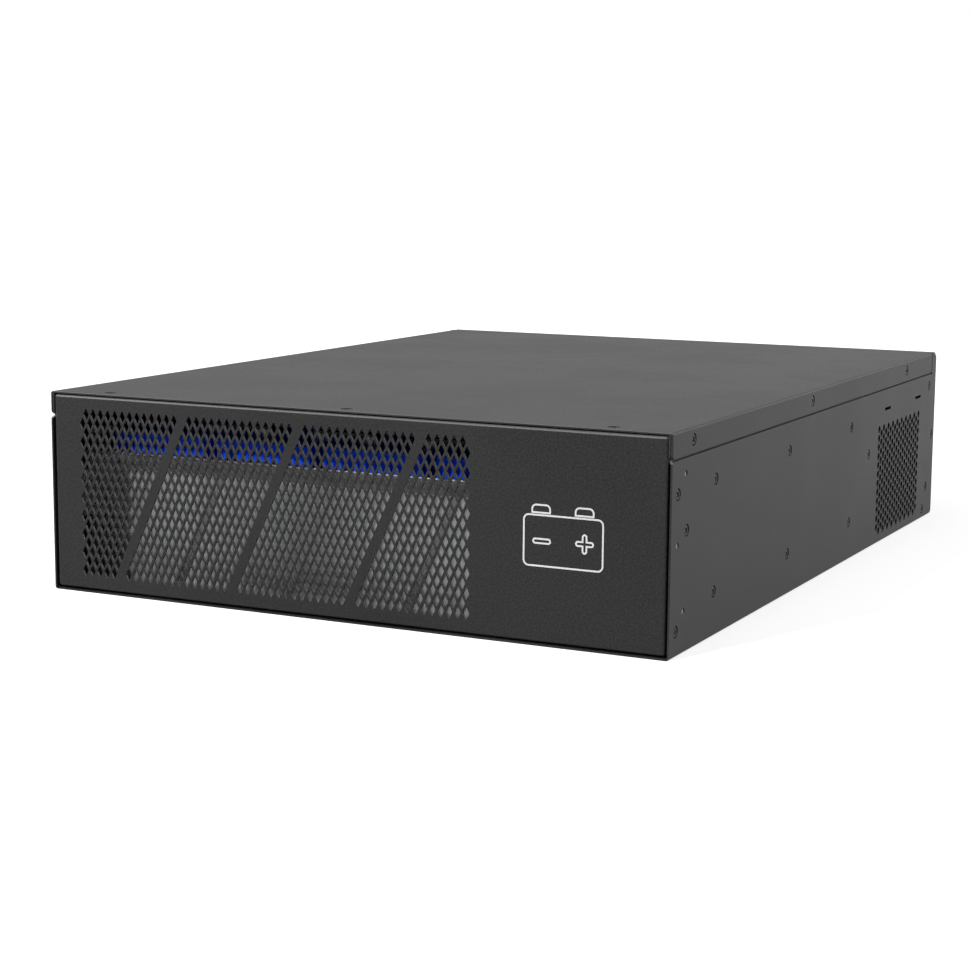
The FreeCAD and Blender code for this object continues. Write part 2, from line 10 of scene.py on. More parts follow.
import bmesh
import bpy
from mathutils import Matrix, Vector


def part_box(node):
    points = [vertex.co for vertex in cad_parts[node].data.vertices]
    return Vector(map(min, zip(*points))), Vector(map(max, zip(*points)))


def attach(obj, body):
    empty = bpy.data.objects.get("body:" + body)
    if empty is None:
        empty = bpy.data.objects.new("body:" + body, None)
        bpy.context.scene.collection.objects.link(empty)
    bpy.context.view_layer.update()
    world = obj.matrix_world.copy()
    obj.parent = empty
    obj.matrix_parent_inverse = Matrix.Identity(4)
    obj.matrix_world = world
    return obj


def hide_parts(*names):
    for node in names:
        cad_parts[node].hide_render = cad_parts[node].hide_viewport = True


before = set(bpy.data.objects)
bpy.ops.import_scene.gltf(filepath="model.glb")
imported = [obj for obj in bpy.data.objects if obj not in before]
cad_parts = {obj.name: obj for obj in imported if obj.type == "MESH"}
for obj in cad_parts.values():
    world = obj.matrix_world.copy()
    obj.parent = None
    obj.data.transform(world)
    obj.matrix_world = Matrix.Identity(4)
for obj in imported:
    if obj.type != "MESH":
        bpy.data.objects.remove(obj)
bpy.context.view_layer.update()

LOG = logging.getLogger("battery_cabinet")
MM = 0.001
TURN = 2 * math.pi
QUARTER = math.pi / 2
SMOOTH_ANGLE = math.radians(35)
FLAT_ANGLE = math.radians(0.5)
CAD_MERGE = 1e-6
SEAM_MERGE = 2e-6
MERGE = 1e-7
WHITE = (1.0, 1.0, 1.0, 1.0)
FORWARD, REARWARD, UPWARD = (Vector(way) for way in ((0, -1, 0), (0, 1, 0), (0, 0, 1)))

RGB = tuple[float, float, float]
Point = tuple[float, float, float]
Place = tuple[float, float]
Spots = tuple[list[Vector], list[Vector]]
SocketRow = tuple[str, str, Any]
Tree = bpy.types.NodeTree
Socket = bpy.types.NodeSocket
Shape = bmesh.types.BMesh
Piece = bpy.types.Object


class Body(Enum):
    """Moving bodies of the cabinet."""

    CABINET = "cabinet"
    LEVER = "lever"


class Slot(Enum):
    """Names of finish slots for the new pieces; the script gives no piece one of them."""

    CASE = "case_paint"
    PANEL = "panel_paint"
    GALVANISED = "galvanised"
    BREAKER = "breaker_shell"
    LEVER = "breaker_lever"
    CONNECTOR = "connector_shell"
    ZINC = "zinc"
    BATTERY = "battery_case"


class Grain(Enum):
    """Kinds of fine relief that a finish can carry."""

    POWDER = "powder_grain"
    SPANGLE = "zinc_spangle"
    DRAWN = "drawn_lines"
    CELLS = "foam_cells"


# Node trees

COLOUR_A, COLOUR_B, COLOUR_RESULT = 6, 7, 2


class Graph:
    """Places and wires the nodes of one tree."""

    def __init__(self, tree: Tree) -> None:
        """Keeps the tree that is worked on."""
        self.tree = tree

    def add(self, kind: str, inputs: dict[Any, Any] | None = None, **settings: Any) -> bpy.types.Node:
        """Adds one node.

        Args:
            kind: Blender's name of the node type.
            inputs: Values or sockets for its inputs, by name or number.
            settings: Properties of the node, set before the inputs.

        Returns:
            The new node.
        """
        node = self.tree.nodes.new(kind)
        for key, value in settings.items():
            setattr(node, key, value)
        for key, value in (inputs or {}).items():
            if isinstance(value, Socket):
                self.tree.links.new(value, node.inputs[key])
            else:
                node.inputs[key].default_value = value
        return node

    def result(self, kind: str, inputs: dict[Any, Any] | None = None, **settings: Any) -> Socket:
        """Adds one node in the same way and returns its first output."""
        return self.add(kind, inputs, **settings).outputs[0]

    def math(self, operation: str, *values: Any) -> Socket:
        """Adds a math node of either kind of tree and returns its result."""
        return self.result("ShaderNodeMath", dict(enumerate(values)), operation=operation)

    def spread(self, value: Socket, low: float, high: float,
               to_low: float | Socket = 0.0, to_high: float | Socket = 1.0) -> Socket:
        """Maps a value smoothly from the range of low and high to the range of to_low and to_high."""
        inputs = {0: value, 1: low, 2: high, 3: to_low, 4: to_high}
        return self.result("ShaderNodeMapRange", inputs, interpolation_type="SMOOTHSTEP")

    def noise(self, vector: Socket, scale: Socket, detail: float, roughness: float = 0.5) -> Sequence[Socket]:
        """Adds a noise texture and returns its value and its colour."""
        inputs = {"Vector": vector, "Scale": scale, "Detail": detail, "Roughness": roughness}
        return self.add("ShaderNodeTexNoise", inputs).outputs

    def mix(self, share: Socket, first: RGB | Socket, second: RGB) -> Socket:
        """Mixes two colours.

        Args:
            share: Share of the second colour.
            first: First colour.
            second: Second colour.

        Returns:
            The mixed colour.
        """
        start = first if isinstance(first, Socket) else (*first, 1.0)
        inputs = {0: share, COLOUR_A: start, COLOUR_B: (*second, 1.0)}
        return self.add("ShaderNodeMix", inputs, data_type="RGBA").outputs[COLOUR_RESULT]

    def join(self, *parts: Socket) -> Socket:
        """Joins geometries.

        Args:
            parts: The geometries in order.

        Returns:
            The joined geometry.
        """
        node = self.add("GeometryNodeJoinGeometry")
        for part in parts:
            self.tree.links.new(part, node.inputs[0])
        return node.outputs[0]


class Group(Graph):
    """Graph of a node group with named sockets."""

    def __init__(self, name: str, kind: str, inputs: Sequence[SocketRow],
                 outputs: Sequence[SocketRow]) -> None:
        """Starts the group.

        Args:
            name: Name of the group.
            kind: Type of tree.
            inputs: Name, socket type and default of each input.
            outputs: Name, socket type and None for each output.
        """
        super().__init__(bpy.data.node_groups.new(name, kind))
        for side, rows in (("INPUT", inputs), ("OUTPUT", outputs)):
            for label, socket_type, default in rows:
                socket = self.tree.interface.new_socket(label, in_out=side, socket_type=socket_type)
                if default is not None:
                    socket.default_value = default
        self.given = self.add("NodeGroupInput").outputs
        self.end = self.add("NodeGroupOutput")

    def close(self, **results: Socket) -> Tree:
        """Leads results to the group's outputs.

        Args:
            results: Result for each output, by the output's name.

        Returns:
            The finished tree.
        """
        for label, socket in results.items():
            self.tree.links.new(socket, self.end.inputs[label])
        return self.tree


def blank(holder: bpy.types.Material | bpy.types.World) -> Graph:
    """Gives a material or world an empty tree.

    Args:
        holder: The material or world.

    Returns:
        The graph of its tree.
    """
    holder.use_nodes = True
    holder.node_tree.nodes.clear()
    return Graph(holder.node_tree)


# Surface effects

SHADER_TREE = "ShaderNodeTree"
VECTOR, FLOAT = "NodeSocketVector", "NodeSocketFloat"


def texture_group(name: str, scale: float, *results: str) -> tuple[Group, Socket, Socket]:
    """Starts an effect that is laid out by a place and a scale.

    Args:
        name: Name of the effect.
        scale: Its scale where none is set.
        results: Names of its outputs.

    Returns:
        The group and its inputs for place and scale.
    """
    rows = (("Vector", VECTOR, None), ("Scale", FLOAT, scale))
    group = Group(name, SHADER_TREE, rows, [(result, FLOAT, None) for result in results])
    return group, group.given["Vector"], group.given["Scale"]


@cache
def powder_grain() -> Tree:
    """Fine orange-peel relief of baked powder, in two sizes.

    Returns:
        The effect.
    """
    group, vector, scale = texture_group(Grain.POWDER.value, 700.0, "Height", "Mask")
    fine = group.noise(vector, scale, detail=2.0, roughness=0.6)[0]
    broad_scale = group.math("MULTIPLY", scale, 0.3)
    broad = group.noise(vector, broad_scale, detail=1.0)[0]
    height = group.math("MULTIPLY_ADD", broad, 0.5, fine)
    return group.close(Height=height, Mask=group.spread(fine, low=0.35, high=0.68))


@cache
def zinc_spangle() -> Tree:
    """Crystal flakes of hot-dipped zinc, each with a tone of its own.

    Returns:
        The effect.
    """
    group, vector, scale = texture_group(Grain.SPANGLE.value, 120.0, "Height", "Mask")
    bend = group.noise(vector, scale, detail=2.0)
    warp = {0: bend[1], 1: (0.004,) * 3, 2: vector}
    warped = group.result("ShaderNodeVectorMath", warp, operation="MULTIPLY_ADD")
    flakes = group.add("ShaderNodeTexVoronoi", {"Vector": warped, "Scale": scale})
    tone = group.add("ShaderNodeSeparateColor", {0: flakes.outputs["Color"]}).outputs
    return group.close(Height=group.math("MULTIPLY_ADD", bend[0], 0.4, tone[1]), Mask=tone[0])


@cache
def drawn_lines() -> Tree:
    """Long fine lines left by drawing or turning metal.

    Returns:
        The effect.
    """
    group, vector, scale = texture_group(Grain.DRAWN.value, 900.0, "Height", "Mask")
    stretch = (1.0, 0.06, 1.0)
    stretched = group.result("ShaderNodeVectorMath", {0: vector, 1: stretch}, operation="MULTIPLY")
    lines = group.noise(stretched, scale, detail=3.0, roughness=0.7)[0]
    return group.close(Height=lines, Mask=group.spread(lines, low=0.3, high=0.7))


@cache
def foam_cells() -> Tree:
    """Small closed cells of foam.

    Returns:
        The effect.
    """
    group, vector, scale = texture_group(Grain.CELLS.value, 900.0, "Height", "Mask")
    cells = group.add("ShaderNodeTexVoronoi", {"Vector": vector, "Scale": scale}).outputs["Distance"]
    return group.close(Height=cells, Mask=group.spread(cells, low=0.1, high=0.7))


@cache
def handling_marks() -> Tree:
    """Broad soft patches of dust and handling.

    Returns:
        The effect.
    """
    group, vector, scale = texture_group("handling_marks", 9.0, "Mask")
    cloud = group.noise(vector, scale, detail=5.0, roughness=0.62)[0]
    return group.close(Mask=group.spread(cloud, low=0.36, high=0.66))


@cache
def bend_wear() -> Tree:
    """Mask of bends from a front to a top face, and of upward cut edges, where a painted highlight lightens
    the paint.

    Returns:
        The effect.
    """
    rows = (("Normal", VECTOR, None), ("Bends", FLOAT, 1.0), ("Cuts", FLOAT, 0.0))
    group = Group("bend_wear", SHADER_TREE, rows, (("Mask", FLOAT, None),))
    parts = group.add("ShaderNodeSeparateXYZ", {0: group.given["Normal"]}).outputs
    upward = group.spread(parts["Z"], low=0.24, high=0.46)
    share = group.spread(parts["Y"], -0.3, -0.1, to_low=group.given["Bends"], to_high=group.given["Cuts"])
    return group.close(Mask=group.math("MULTIPLY", upward, share))


GRAIN_TREES: dict[Grain, Callable[[], Tree]] = {
    Grain.POWDER: powder_grain, Grain.SPANGLE: zinc_spangle,
    Grain.DRAWN: drawn_lines, Grain.CELLS: foam_cells,
}


# Finishes

FINE = 0.01 * MM


@dataclass(frozen=True)
class Finish:
    """One surface finish: its two tones, gloss, fine relief, broad patches and a painted highlight on
    up-facing bends and cut edges.
    """

    name: str
    tone: RGB
    patch: RGB
    gloss: tuple[float, float]
    grain: Grain = Grain.POWDER
    grain_scale: float = 700.0
    grain_depth: float = 0.02 * MM
    grain_tint: float = 0.25
    patch_scale: float = 9.0
    metallic: float = 0.0
    specular: float = 0.5
    # Painted highlight: the colour that bends and cut edges facing up and forward are lightened towards.
    bend_highlight_tone: RGB | None = None
    bend_highlight_share: float = 1.0
    cut_highlight_share: float = 0.0

    def material(self) -> bpy.types.Material:
        """Builds the finish as a node material, once.

        Returns:
            The new material, or the one built before.
        """
        known = bpy.data.materials.get(self.name)
        if known:
            return known
        material = bpy.data.materials.new(self.name)
        graph = blank(material)
        spot = graph.add("ShaderNodeTexCoord").outputs
        layers = ((GRAIN_TREES[self.grain](), self.grain_scale), (handling_marks(), self.patch_scale))
        relief, marks = (
            graph.add("ShaderNodeGroup", {"Vector": spot["Object"], "Scale": scale}, node_tree=tree).outputs
            for tree, scale in layers)
        patches = graph.math("MULTIPLY", marks["Mask"], 1.0 - self.grain_tint)
        share = graph.math("MULTIPLY_ADD", relief["Mask"], self.grain_tint, patches)
        colour = graph.mix(share, self.tone, self.patch)
        # Painted highlight: bends and upward cut edges are mixed towards the highlight tone, as if lit from
        # above.
        if self.bend_highlight_tone:
            highlight_inputs = {"Normal": spot["Normal"], "Bends": self.bend_highlight_share, "Cuts": self.cut_highlight_share}
            bends = graph.result("ShaderNodeGroup", highlight_inputs, node_tree=bend_wear())
            colour = graph.mix(bends, colour, self.bend_highlight_tone)
        raised = {"Height": relief["Height"], "Distance": self.grain_depth, "Strength": 1.0}
        shader = graph.result("ShaderNodeBsdfPrincipled", {
            "Base Color": colour, "Roughness": graph.spread(share, 0.0, 1.0, *self.gloss),
            "Normal": graph.result("ShaderNodeBump", raised),
            "Metallic": self.metallic, "Specular IOR Level": self.specular,
        })
        graph.add("ShaderNodeOutputMaterial", {"Surface": shader})
        return material


# Both paints carry a painted highlight on their up-facing bends; the panel's also covers its upward hole rims
# and cut edges.
CASE_PAINT = Finish("black_powder_coat_case", (0.0035, 0.0035, 0.0037), (0.0235, 0.0235, 0.0243),
                    (0.47, 0.58), grain_scale=800.0, grain_depth=0.06 * MM, grain_tint=0.55, specular=0.165,
                    bend_highlight_tone=(0.08, 0.08, 0.081))
PANEL_PAINT = Finish("black_powder_coat_panel", (0.0063, 0.0063, 0.0065), (0.0182, 0.0182, 0.0187),
                     (0.32, 0.44), grain_scale=800.0, grain_depth=0.06 * MM, grain_tint=0.8, specular=0.17,
                     bend_highlight_tone=(0.2, 0.2, 0.202), bend_highlight_share=0.4, cut_highlight_share=1.0)
SCREW_BLACK = Finish("black_screw", (0.005, 0.005, 0.0053), (0.014, 0.014, 0.0145), (0.35, 0.5),
                     Grain.DRAWN, 1500.0, FINE, specular=0.2)
GALVANISED = Finish("galvanised_sheet", (0.52, 0.53, 0.54), (0.68, 0.69, 0.7), (0.34, 0.5),
                    Grain.SPANGLE, 130.0, FINE, 0.6, metallic=0.55)
RETAINER_ZINC = Finish("dull_galvanised_sheet", (0.26, 0.265, 0.27), (0.345, 0.35, 0.355), (0.38, 0.54),
                       Grain.SPANGLE, 130.0, FINE, 0.6, metallic=0.55)
BATTERY_BLUE = Finish("blue_battery_case", (0.003, 0.07, 0.92), (0.004, 0.085, 1.0), (0.3, 0.42),
                      grain_scale=900.0, grain_depth=FINE, specular=0.06)
FOAM = Finish("closed_cell_foam", (0.012, 0.012, 0.012), (0.02, 0.02, 0.02), (0.8, 0.95),
              Grain.CELLS, 800.0, 0.2 * MM)
FILM = Finish("black_film", (0.02, 0.02, 0.02), (0.03, 0.03, 0.03), (0.3, 0.45), grain_scale=300.0)
SLEEVE_BLACK = Finish("black_sleeve", (0.014, 0.014, 0.015), (0.024, 0.024, 0.025), (0.4, 0.55))
SLEEVE_RED = Finish("red_sleeve", (0.11, 0.004, 0.004), (0.15, 0.007, 0.006), (0.4, 0.55))
DULL_LEAD = Finish("dull_lead", (0.16, 0.16, 0.165), (0.23, 0.23, 0.235), (0.25, 0.4),
                   Grain.DRAWN, 900.0, FINE, metallic=1.0)
ZINC = Finish("zinc_plate", (0.6, 0.61, 0.62), (0.74, 0.75, 0.76), (0.22, 0.36),
              Grain.DRAWN, 1200.0, FINE, metallic=1.0)
BUSH_STEEL = Finish("turned_bush_steel", (0.2, 0.2, 0.205), (0.3, 0.3, 0.305), (0.3, 0.45),
                    Grain.DRAWN, 1200.0, FINE, metallic=1.0)
SILVERED = Finish("silvered_contact", (0.7, 0.67, 0.6), (0.8, 0.77, 0.7), (0.2, 0.34),
                  Grain.DRAWN, 900.0, FINE, metallic=1.0)
PALE_MOULDING = Finish("pale_breaker_moulding", (0.52, 0.52, 0.5), (0.57, 0.57, 0.55), (0.38, 0.5),
                       grain_scale=1100.0)
BLACK_MOULDING = Finish("black_lever_moulding", (0.02, 0.02, 0.021), (0.03, 0.03, 0.031), (0.36, 0.5),
                        grain_scale=1100.0)
GREY_MOULDING = Finish("grey_connector_moulding", (0.09, 0.093, 0.1), (0.11, 0.113, 0.12), (0.38, 0.5),
                       grain_scale=1100.0)
WHITE_INK = Finish("white_print", (0.46, 0.46, 0.455), (0.52, 0.52, 0.515), (0.55, 0.7),
                   grain_scale=900.0, grain_depth=FINE)


# Mesh helpers


def new_piece(name: str, mesh: bpy.types.Mesh) -> Piece:
    """Puts a mesh into the scene as an object at the origin.

    Args:
        name: Name of the object.
        mesh: Its mesh.

    Returns:
        The object.
    """
    piece = bpy.data.objects.new(name, mesh)
    bpy.context.scene.collection.objects.link(piece)
    return piece


def piece_from(name: str, shape: Shape) -> Piece:
    """Turns a worked shape into an object and lets the shape go.

    Args:
        name: Name of the object.
        shape: Its shape.

    Returns:
        The object.
    """
    mesh = bpy.data.meshes.new(name)
    shape.to_mesh(mesh)
    shape.free()
    return new_piece(name, mesh)


@contextmanager
def opened(mesh: bpy.types.Mesh) -> Iterator[Shape]:
    """Opens a mesh for work and writes the result back into it.

    Args:
        mesh: Mesh to change.

    Yields:
        Its shape.
    """
    shape = bmesh.new()
    shape.from_mesh(mesh)
    yield shape
    shape.to_mesh(mesh)
    shape.free()


def points_piece(name: str, places: Iterable[Vector], facings: Iterable[Vector] = ()) -> Piece:
    """Makes an object of loose points for a node tree to work on.

    Args:
        name: Name of the piece that the points will become.
        places: Where the points are.
        facings: Way that each point faces, where the tree reads it.

    Returns:
        The object.
    """
    mesh = bpy.data.meshes.new(name)
    mesh.from_pydata([tuple(place) for place in places], [], [])
    ways = [tuple(facing) for facing in facings]
    if ways:
        attribute = mesh.attributes.new("facing", "FLOAT_VECTOR", "POINT")
        for item, way in zip(attribute.data, ways):
            item.vector = way
    return new_piece(name, mesh)


def settle(piece: Piece) -> Piece:
    """Turns a piece and its modifiers into one plain mesh.

    Args:
        piece: Piece to settle.

    Returns:
        The same piece with its new mesh.
    """
    graph = bpy.context.evaluated_depsgraph_get()
    mesh = bpy.data.meshes.new_from_object(piece.evaluated_get(graph), depsgraph=graph)
    old = piece.data
    piece.modifiers.clear()
    piece.data = mesh
    bpy.data.meshes.remove(old)
    mesh.name = piece.name
    return piece


def grow(piece: Piece, tree: Tree, values: dict[str, Any]) -> Piece:
    """Runs a geometry tree on a piece and keeps the result as a plain mesh.

    Args:
        piece: Object that holds the tree's points.
        tree: Geometry tree to run.
        values: Values for its inputs, by their names.

    Returns:
        The same piece with its new mesh.
    """
    modifier = piece.modifiers.new("shape", "NODES")
    modifier.node_group = tree
    for item in tree.interface.items_tree:
        if item.item_type == "SOCKET" and item.in_out == "INPUT" and item.name in values:
            modifier[item.identifier] = values[item.name]
    return settle(piece)


def discard(piece: Piece) -> None:
    """Takes a helper object and its mesh out of the file.

    Args:
        piece: Helper object.
    """
    mesh = piece.data
    bpy.data.objects.remove(piece)
    bpy.data.meshes.remove(mesh)


def node_copy(node: str, name: str) -> Piece:
    """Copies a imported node's mesh into a new piece, with its loose triangles joined.

    Args:
        node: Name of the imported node.
        name: Name of the new piece.

    Returns:
        The new piece.
    """
    shape = bmesh.new()
    shape.from_mesh(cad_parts[node].data)
    bmesh.ops.remove_doubles(shape, verts=shape.verts, dist=CAD_MERGE)
    bmesh.ops.dissolve_limit(shape, angle_limit=FLAT_ANGLE, verts=shape.verts, edges=shape.edges)
    return piece_from(name, shape)


def clean(piece: Piece) -> None:
    """Joins a mesh's corners that fall together and drops the slivers between them.

    Args:
        piece: Piece to clean.
    """
    with opened(piece.data) as shape:
        bmesh.ops.remove_doubles(shape, verts=shape.verts, dist=MERGE)
        bmesh.ops.dissolve_degenerate(shape, edges=shape.edges, dist=MERGE)


def face_out(shape: Shape) -> Shape:
    """Turns all faces of a closed shape outwards and returns it."""
    bmesh.ops.recalc_face_normals(shape, faces=shape.faces)
    return shape


def combine(piece: Piece, tool: Piece, operation: str) -> None:
    """Cuts a tool from a piece or joins it on, and discards the tool.

    Args:
        piece: Piece that is changed.
        tool: Helper object with closed shapes.
        operation: DIFFERENCE or UNION.
    """
    modifier = piece.modifiers.new("combine", "BOOLEAN")
    modifier.operation = operation
    modifier.solver = "EXACT"
    modifier.use_self = False
    modifier.object = tool
    settle(piece)
    discard(tool)


def boxes_piece(name: str, boxes: Iterable[tuple[Vector, Vector]]) -> Piece:
    """Makes a helper object of plain blocks.

    Args:
        name: Name of the object.
        boxes: Low and high corner of each block.

    Returns:
        The object.
    """
    shape = bmesh.new()
    for low, high in boxes:
        middle = Matrix.Translation((low + high) / 2) @ Matrix.Diagonal((*(high - low), 1.0))
        bmesh.ops.create_cube(shape, size=1.0, matrix=middle)
    return piece_from(name, shape)


def soften(piece: Piece, width: float = 0.0, segments: int = 2) -> Piece:
    """Rounds a piece's sharp edges and shades its bends smoothly.

    Args:
        piece: Piece to finish.
        width: Width of the rounding, or zero for none.
        segments: Steps in the rounding.

    Returns:
        The finished piece.
    """
    if width:
        bevel = piece.modifiers.new("bevel", "BEVEL")
        bevel.width = width
        bevel.segments = segments
        bevel.limit_method = "ANGLE"
        bevel.angle_limit = SMOOTH_ANGLE
        bevel.use_clamp_overlap = True
        settle(piece)
    piece.data.shade_smooth()
    piece.data.set_sharp_from_angle(angle=SMOOTH_ANGLE)
    weighted = piece.modifiers.new("flats", "WEIGHTED_NORMAL")
    weighted.keep_sharp = True
    return settle(piece)


def enter(piece: Piece, finish: Finish, nodes: Sequence[str] = (),
          body: Body = Body.CABINET) -> None:
    """Paints a finished piece and puts it on its body.

    Args:
        piece: Finished piece.
        finish: Its surface.
        nodes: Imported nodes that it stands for.
        body: Body that carries it.
    """
    piece.data.materials.clear()
    piece.data.materials.append(finish.material())
    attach(piece, body.value)
    if nodes:
        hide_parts(*nodes)
    LOG.info("%s on %s: %d faces", piece.name, body.value, len(piece.data.polygons))


def skin(shape: Shape, rings: Sequence[Sequence[Point | Vector]], closed: bool = False, capped: bool = False
         ) -> list[list[bmesh.types.BMVert]]:
    """Lays faces between rings of points.

    Args:
        shape: Shape that gets the faces.
        rings: Rings of points in order, all of one length.
        closed: Whether the last ring meets the first one.
        capped: Whether one face closes each end.

    Returns:
        The rings' new corners.
    """
    corners = [[shape.verts.new(point) for point in ring] for ring in rings]
    following = corners[1:] + corners[:1] if closed else corners[1:]
    for here, there in zip(corners, following):
        for i in range(len(here)):
            j = (i + 1) % len(here)
            shape.faces.new((here[i], here[j], there[j], there[i]))
    for end in (corners[0], corners[-1]) if capped else ():
        shape.faces.new(end)
    return corners


def lathe(profile: Sequence[Place], steps: int) -> Shape:
    """Turns a closed outline round the Z axis.

    Args:
        profile: Radius and height of each corner of the outline, in millimetres.
        steps: Steps in a full turn.

    Returns:
        The ring-shaped solid.
    """
    shape = bmesh.new()
    turns = [TURN * i / steps for i in range(steps)]
    rings = [[(r * MM * math.cos(t), r * MM * math.sin(t), h * MM) for r, h in profile] for t in turns]
    skin(shape, rings, closed=True)
    bmesh.ops.remove_doubles(shape, verts=shape.verts, dist=MERGE)
    return face_out(shape)


class Window(NamedTuple):
    """Upright block on a face: its ends along the face, then its heights. Millimetres."""

    left: float
    right: float
    low: float
    high: float


def rounded_outline(block: Window, lower: float, upper: float, steps: int) -> list[Place]:
    """Closed outline of a block with rounded corners, anticlockwise from its upper right.

    Args:
        block: The block.
        lower: Radius of its lower corners.
        upper: Radius of its upper corners.
        steps: Steps in each corner.

    Returns:
        The outline's points, as many at each corner.
    """
    right, left = block.right, block.left
    centres = ((right - upper, block.high - upper, upper), (left + upper, block.high - upper, upper),
               (left + lower, block.low + lower, lower), (right - lower, block.low + lower, lower))
    points = []
    for quarter, (x, z, radius) in enumerate(centres):
        for i in range(steps + 1):
            turn = (quarter + i / steps) * QUARTER
            points.append((x + radius * math.cos(turn), z + radius * math.sin(turn)))
    return points


# Geometry trees

GEOMETRY_TREE = "GeometryNodeTree"
GEOMETRY, OBJECT = "NodeSocketGeometry", "NodeSocketObject"
INTEGER, MATERIAL = "NodeSocketInt", "NodeSocketMaterial"
GEOMETRY_ROW, MATERIAL_ROW = ("Geometry", GEOMETRY, None), ("Material", MATERIAL, None)


def close_painted(group: Group, geometry: Socket) -> Tree:
    """Ends a geometry tree with real instances that have the given material.

    Args:
        group: The tree's group.
        geometry: What it has made.

    Returns:
        The finished tree.
    """
    whole = group.result("GeometryNodeRealizeInstances", {0: geometry})
    paint = {"Geometry": whole, "Material": group.given["Material"]}
    return group.close(Geometry=group.result("GeometryNodeSetMaterial", paint))


def perforated_sheet_tree() -> Tree:
    """Flat sheet with one hole at every point, cut in a filled outline that then gets thickness.

    Returns:
        The geometry tree.
    """
    rows = (
        GEOMETRY_ROW, ("Width", FLOAT, 0.4), ("Height", FLOAT, 0.1), ("Middle", VECTOR, None),
        ("Hole Width", FLOAT, 0.004), ("Hole Height", FLOAT, 0.008), ("Hole Sides", INTEGER, 4),
        ("Hole Round", FLOAT, 0.0005), ("Round Steps", INTEGER, 2), ("Thickness", FLOAT, 0.001),
        MATERIAL_ROW,
    )
    group = Group("perforated_sheet", GEOMETRY_TREE, rows, (GEOMETRY_ROW,))
    given = group.given
    frame_size = {"Width": given["Width"], "Height": given["Height"]}
    outline = group.result("GeometryNodeCurvePrimitiveQuadrilateral", frame_size)
    placed = group.result("GeometryNodeTransform", {"Geometry": outline, "Translation": given["Middle"]})
    ring_size = {"Resolution": given["Hole Sides"], "Radius": 0.5}
    ring = group.result("GeometryNodeCurvePrimitiveCircle", ring_size)
    size = group.result("ShaderNodeCombineXYZ", {0: given["Hole Width"], 1: given["Hole Height"], 2: 1.0})
    copies = {"Points": given["Geometry"], "Instance": ring, "Scale": size}
    holes = group.result("GeometryNodeInstanceOnPoints", copies)
    real = group.result("GeometryNodeRealizeInstances", {0: holes})
    corners = {"Curve": real, "Count": given["Round Steps"], "Radius": given["Hole Round"]}
    rounded = group.result("GeometryNodeFilletCurve", corners, mode="POLY")
    sheet = group.result("GeometryNodeFillCurve", {0: group.join(placed, rounded)}, mode="TRIANGLES")
    lift = {"Mesh": sheet, "Offset Scale": given["Thickness"], "Individual": False}
    raised = group.result("GeometryNodeExtrudeMesh", lift)
    back = group.result("GeometryNodeFlipFaces", {0: sheet})
    both = {"Geometry": group.join(raised, back), "Distance": CAD_MERGE}
    return close_painted(group, group.result("GeometryNodeMergeByDistance", both))


@cache
def repeated_tree() -> Tree:
    """One small shape at every point, facing the way that the point says and turned by a seeded angle.

    Returns:
        The geometry tree.
    """
    rows = (GEOMETRY_ROW, ("Shape", OBJECT, None), ("Turn", FLOAT, 0.0), ("Seed", INTEGER, 1), MATERIAL_ROW)
    group = Group("repeated_shape", GEOMETRY_TREE, rows, (GEOMETRY_ROW,))
    given = group.given
    shape = group.add("GeometryNodeObjectInfo", {"Object": given["Shape"]}).outputs["Geometry"]
    facing = group.result("GeometryNodeInputNamedAttribute", {"Name": "facing"}, data_type="FLOAT_VECTOR")
    aimed = group.result("FunctionNodeAlignRotationToVector", {"Vector": facing}, axis="Z")
    placed = {"Points": given["Geometry"], "Instance": shape, "Rotation": aimed}
    copies = group.result("GeometryNodeInstanceOnPoints", placed)
    bounds = {"Seed": given["Seed"], 2: 0.0, 3: given["Turn"]}
    chance = group.add("FunctionNodeRandomValue", bounds, data_type="FLOAT").outputs[1]
    about = group.result("ShaderNodeCombineXYZ", {2: chance})
    spin = {"Instances": copies, "Rotation": about, "Local Space": True}
    return close_painted(group, group.result("GeometryNodeRotateInstances", spin))


def set_out(name: str, shape: Shape, places: Sequence[Vector], facings: Sequence[Vector],
            turn: float = 0.0, seed: int = 1) -> Piece:
    """Sets one shape at many places.

    Args:
        name: Name of the piece.
        shape: Shape, standing on the origin with its face towards +Z.
        places: Where its copies go.
        facings: Way that each copy faces.
        turn: Largest chance turn about that way.
        seed: Seed of the turns.

    Returns:
        One piece that holds all copies.
    """
    model = piece_from(name + "_model", shape)
    piece = points_piece(name, places, facings)
    grow(piece, repeated_tree(), {"Shape": model, "Turn": turn, "Seed": seed})
    discard(model)
    return piece


# Places on the case

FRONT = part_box("chassis")[0].y
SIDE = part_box("chassis")[1].x
SHEET = 1.2


def at(x: float, y: float, z: float) -> Vector:
    """Point from millimetres, with its depth measured from the case's front edge."""
    return Vector((x * MM, FRONT + y * MM, z * MM))


def on_sides(places: Iterable[Place], inset: float = 0.0) -> Spots:
    """Sets out places on both side walls.

    Args:
        places: Depth from the front edge and height, in millimetres.
        inset: How far inside the wall's face, in millimetres.

    Returns:
        The points and the ways that they face.
    """
    points, ways = [], []
    for side in (1.0, -1.0):
        for y, z in places:
            points.append(at(side * (SIDE / MM - inset), y, z))
            ways.append(Vector((side, 0.0, 0.0)))
    return points, ways


def side_blocks(inner: float, outer: float, window: Window) -> list[tuple[Vector, Vector]]:
    """Low and high corner of a block at each side, between inner and outer and within the window."""
    return [(at(near, window.left, window.low), at(far, window.right, window.high))
            for near, far in ((inner, outer), (-outer, -inner))]


# Sub-assemblies


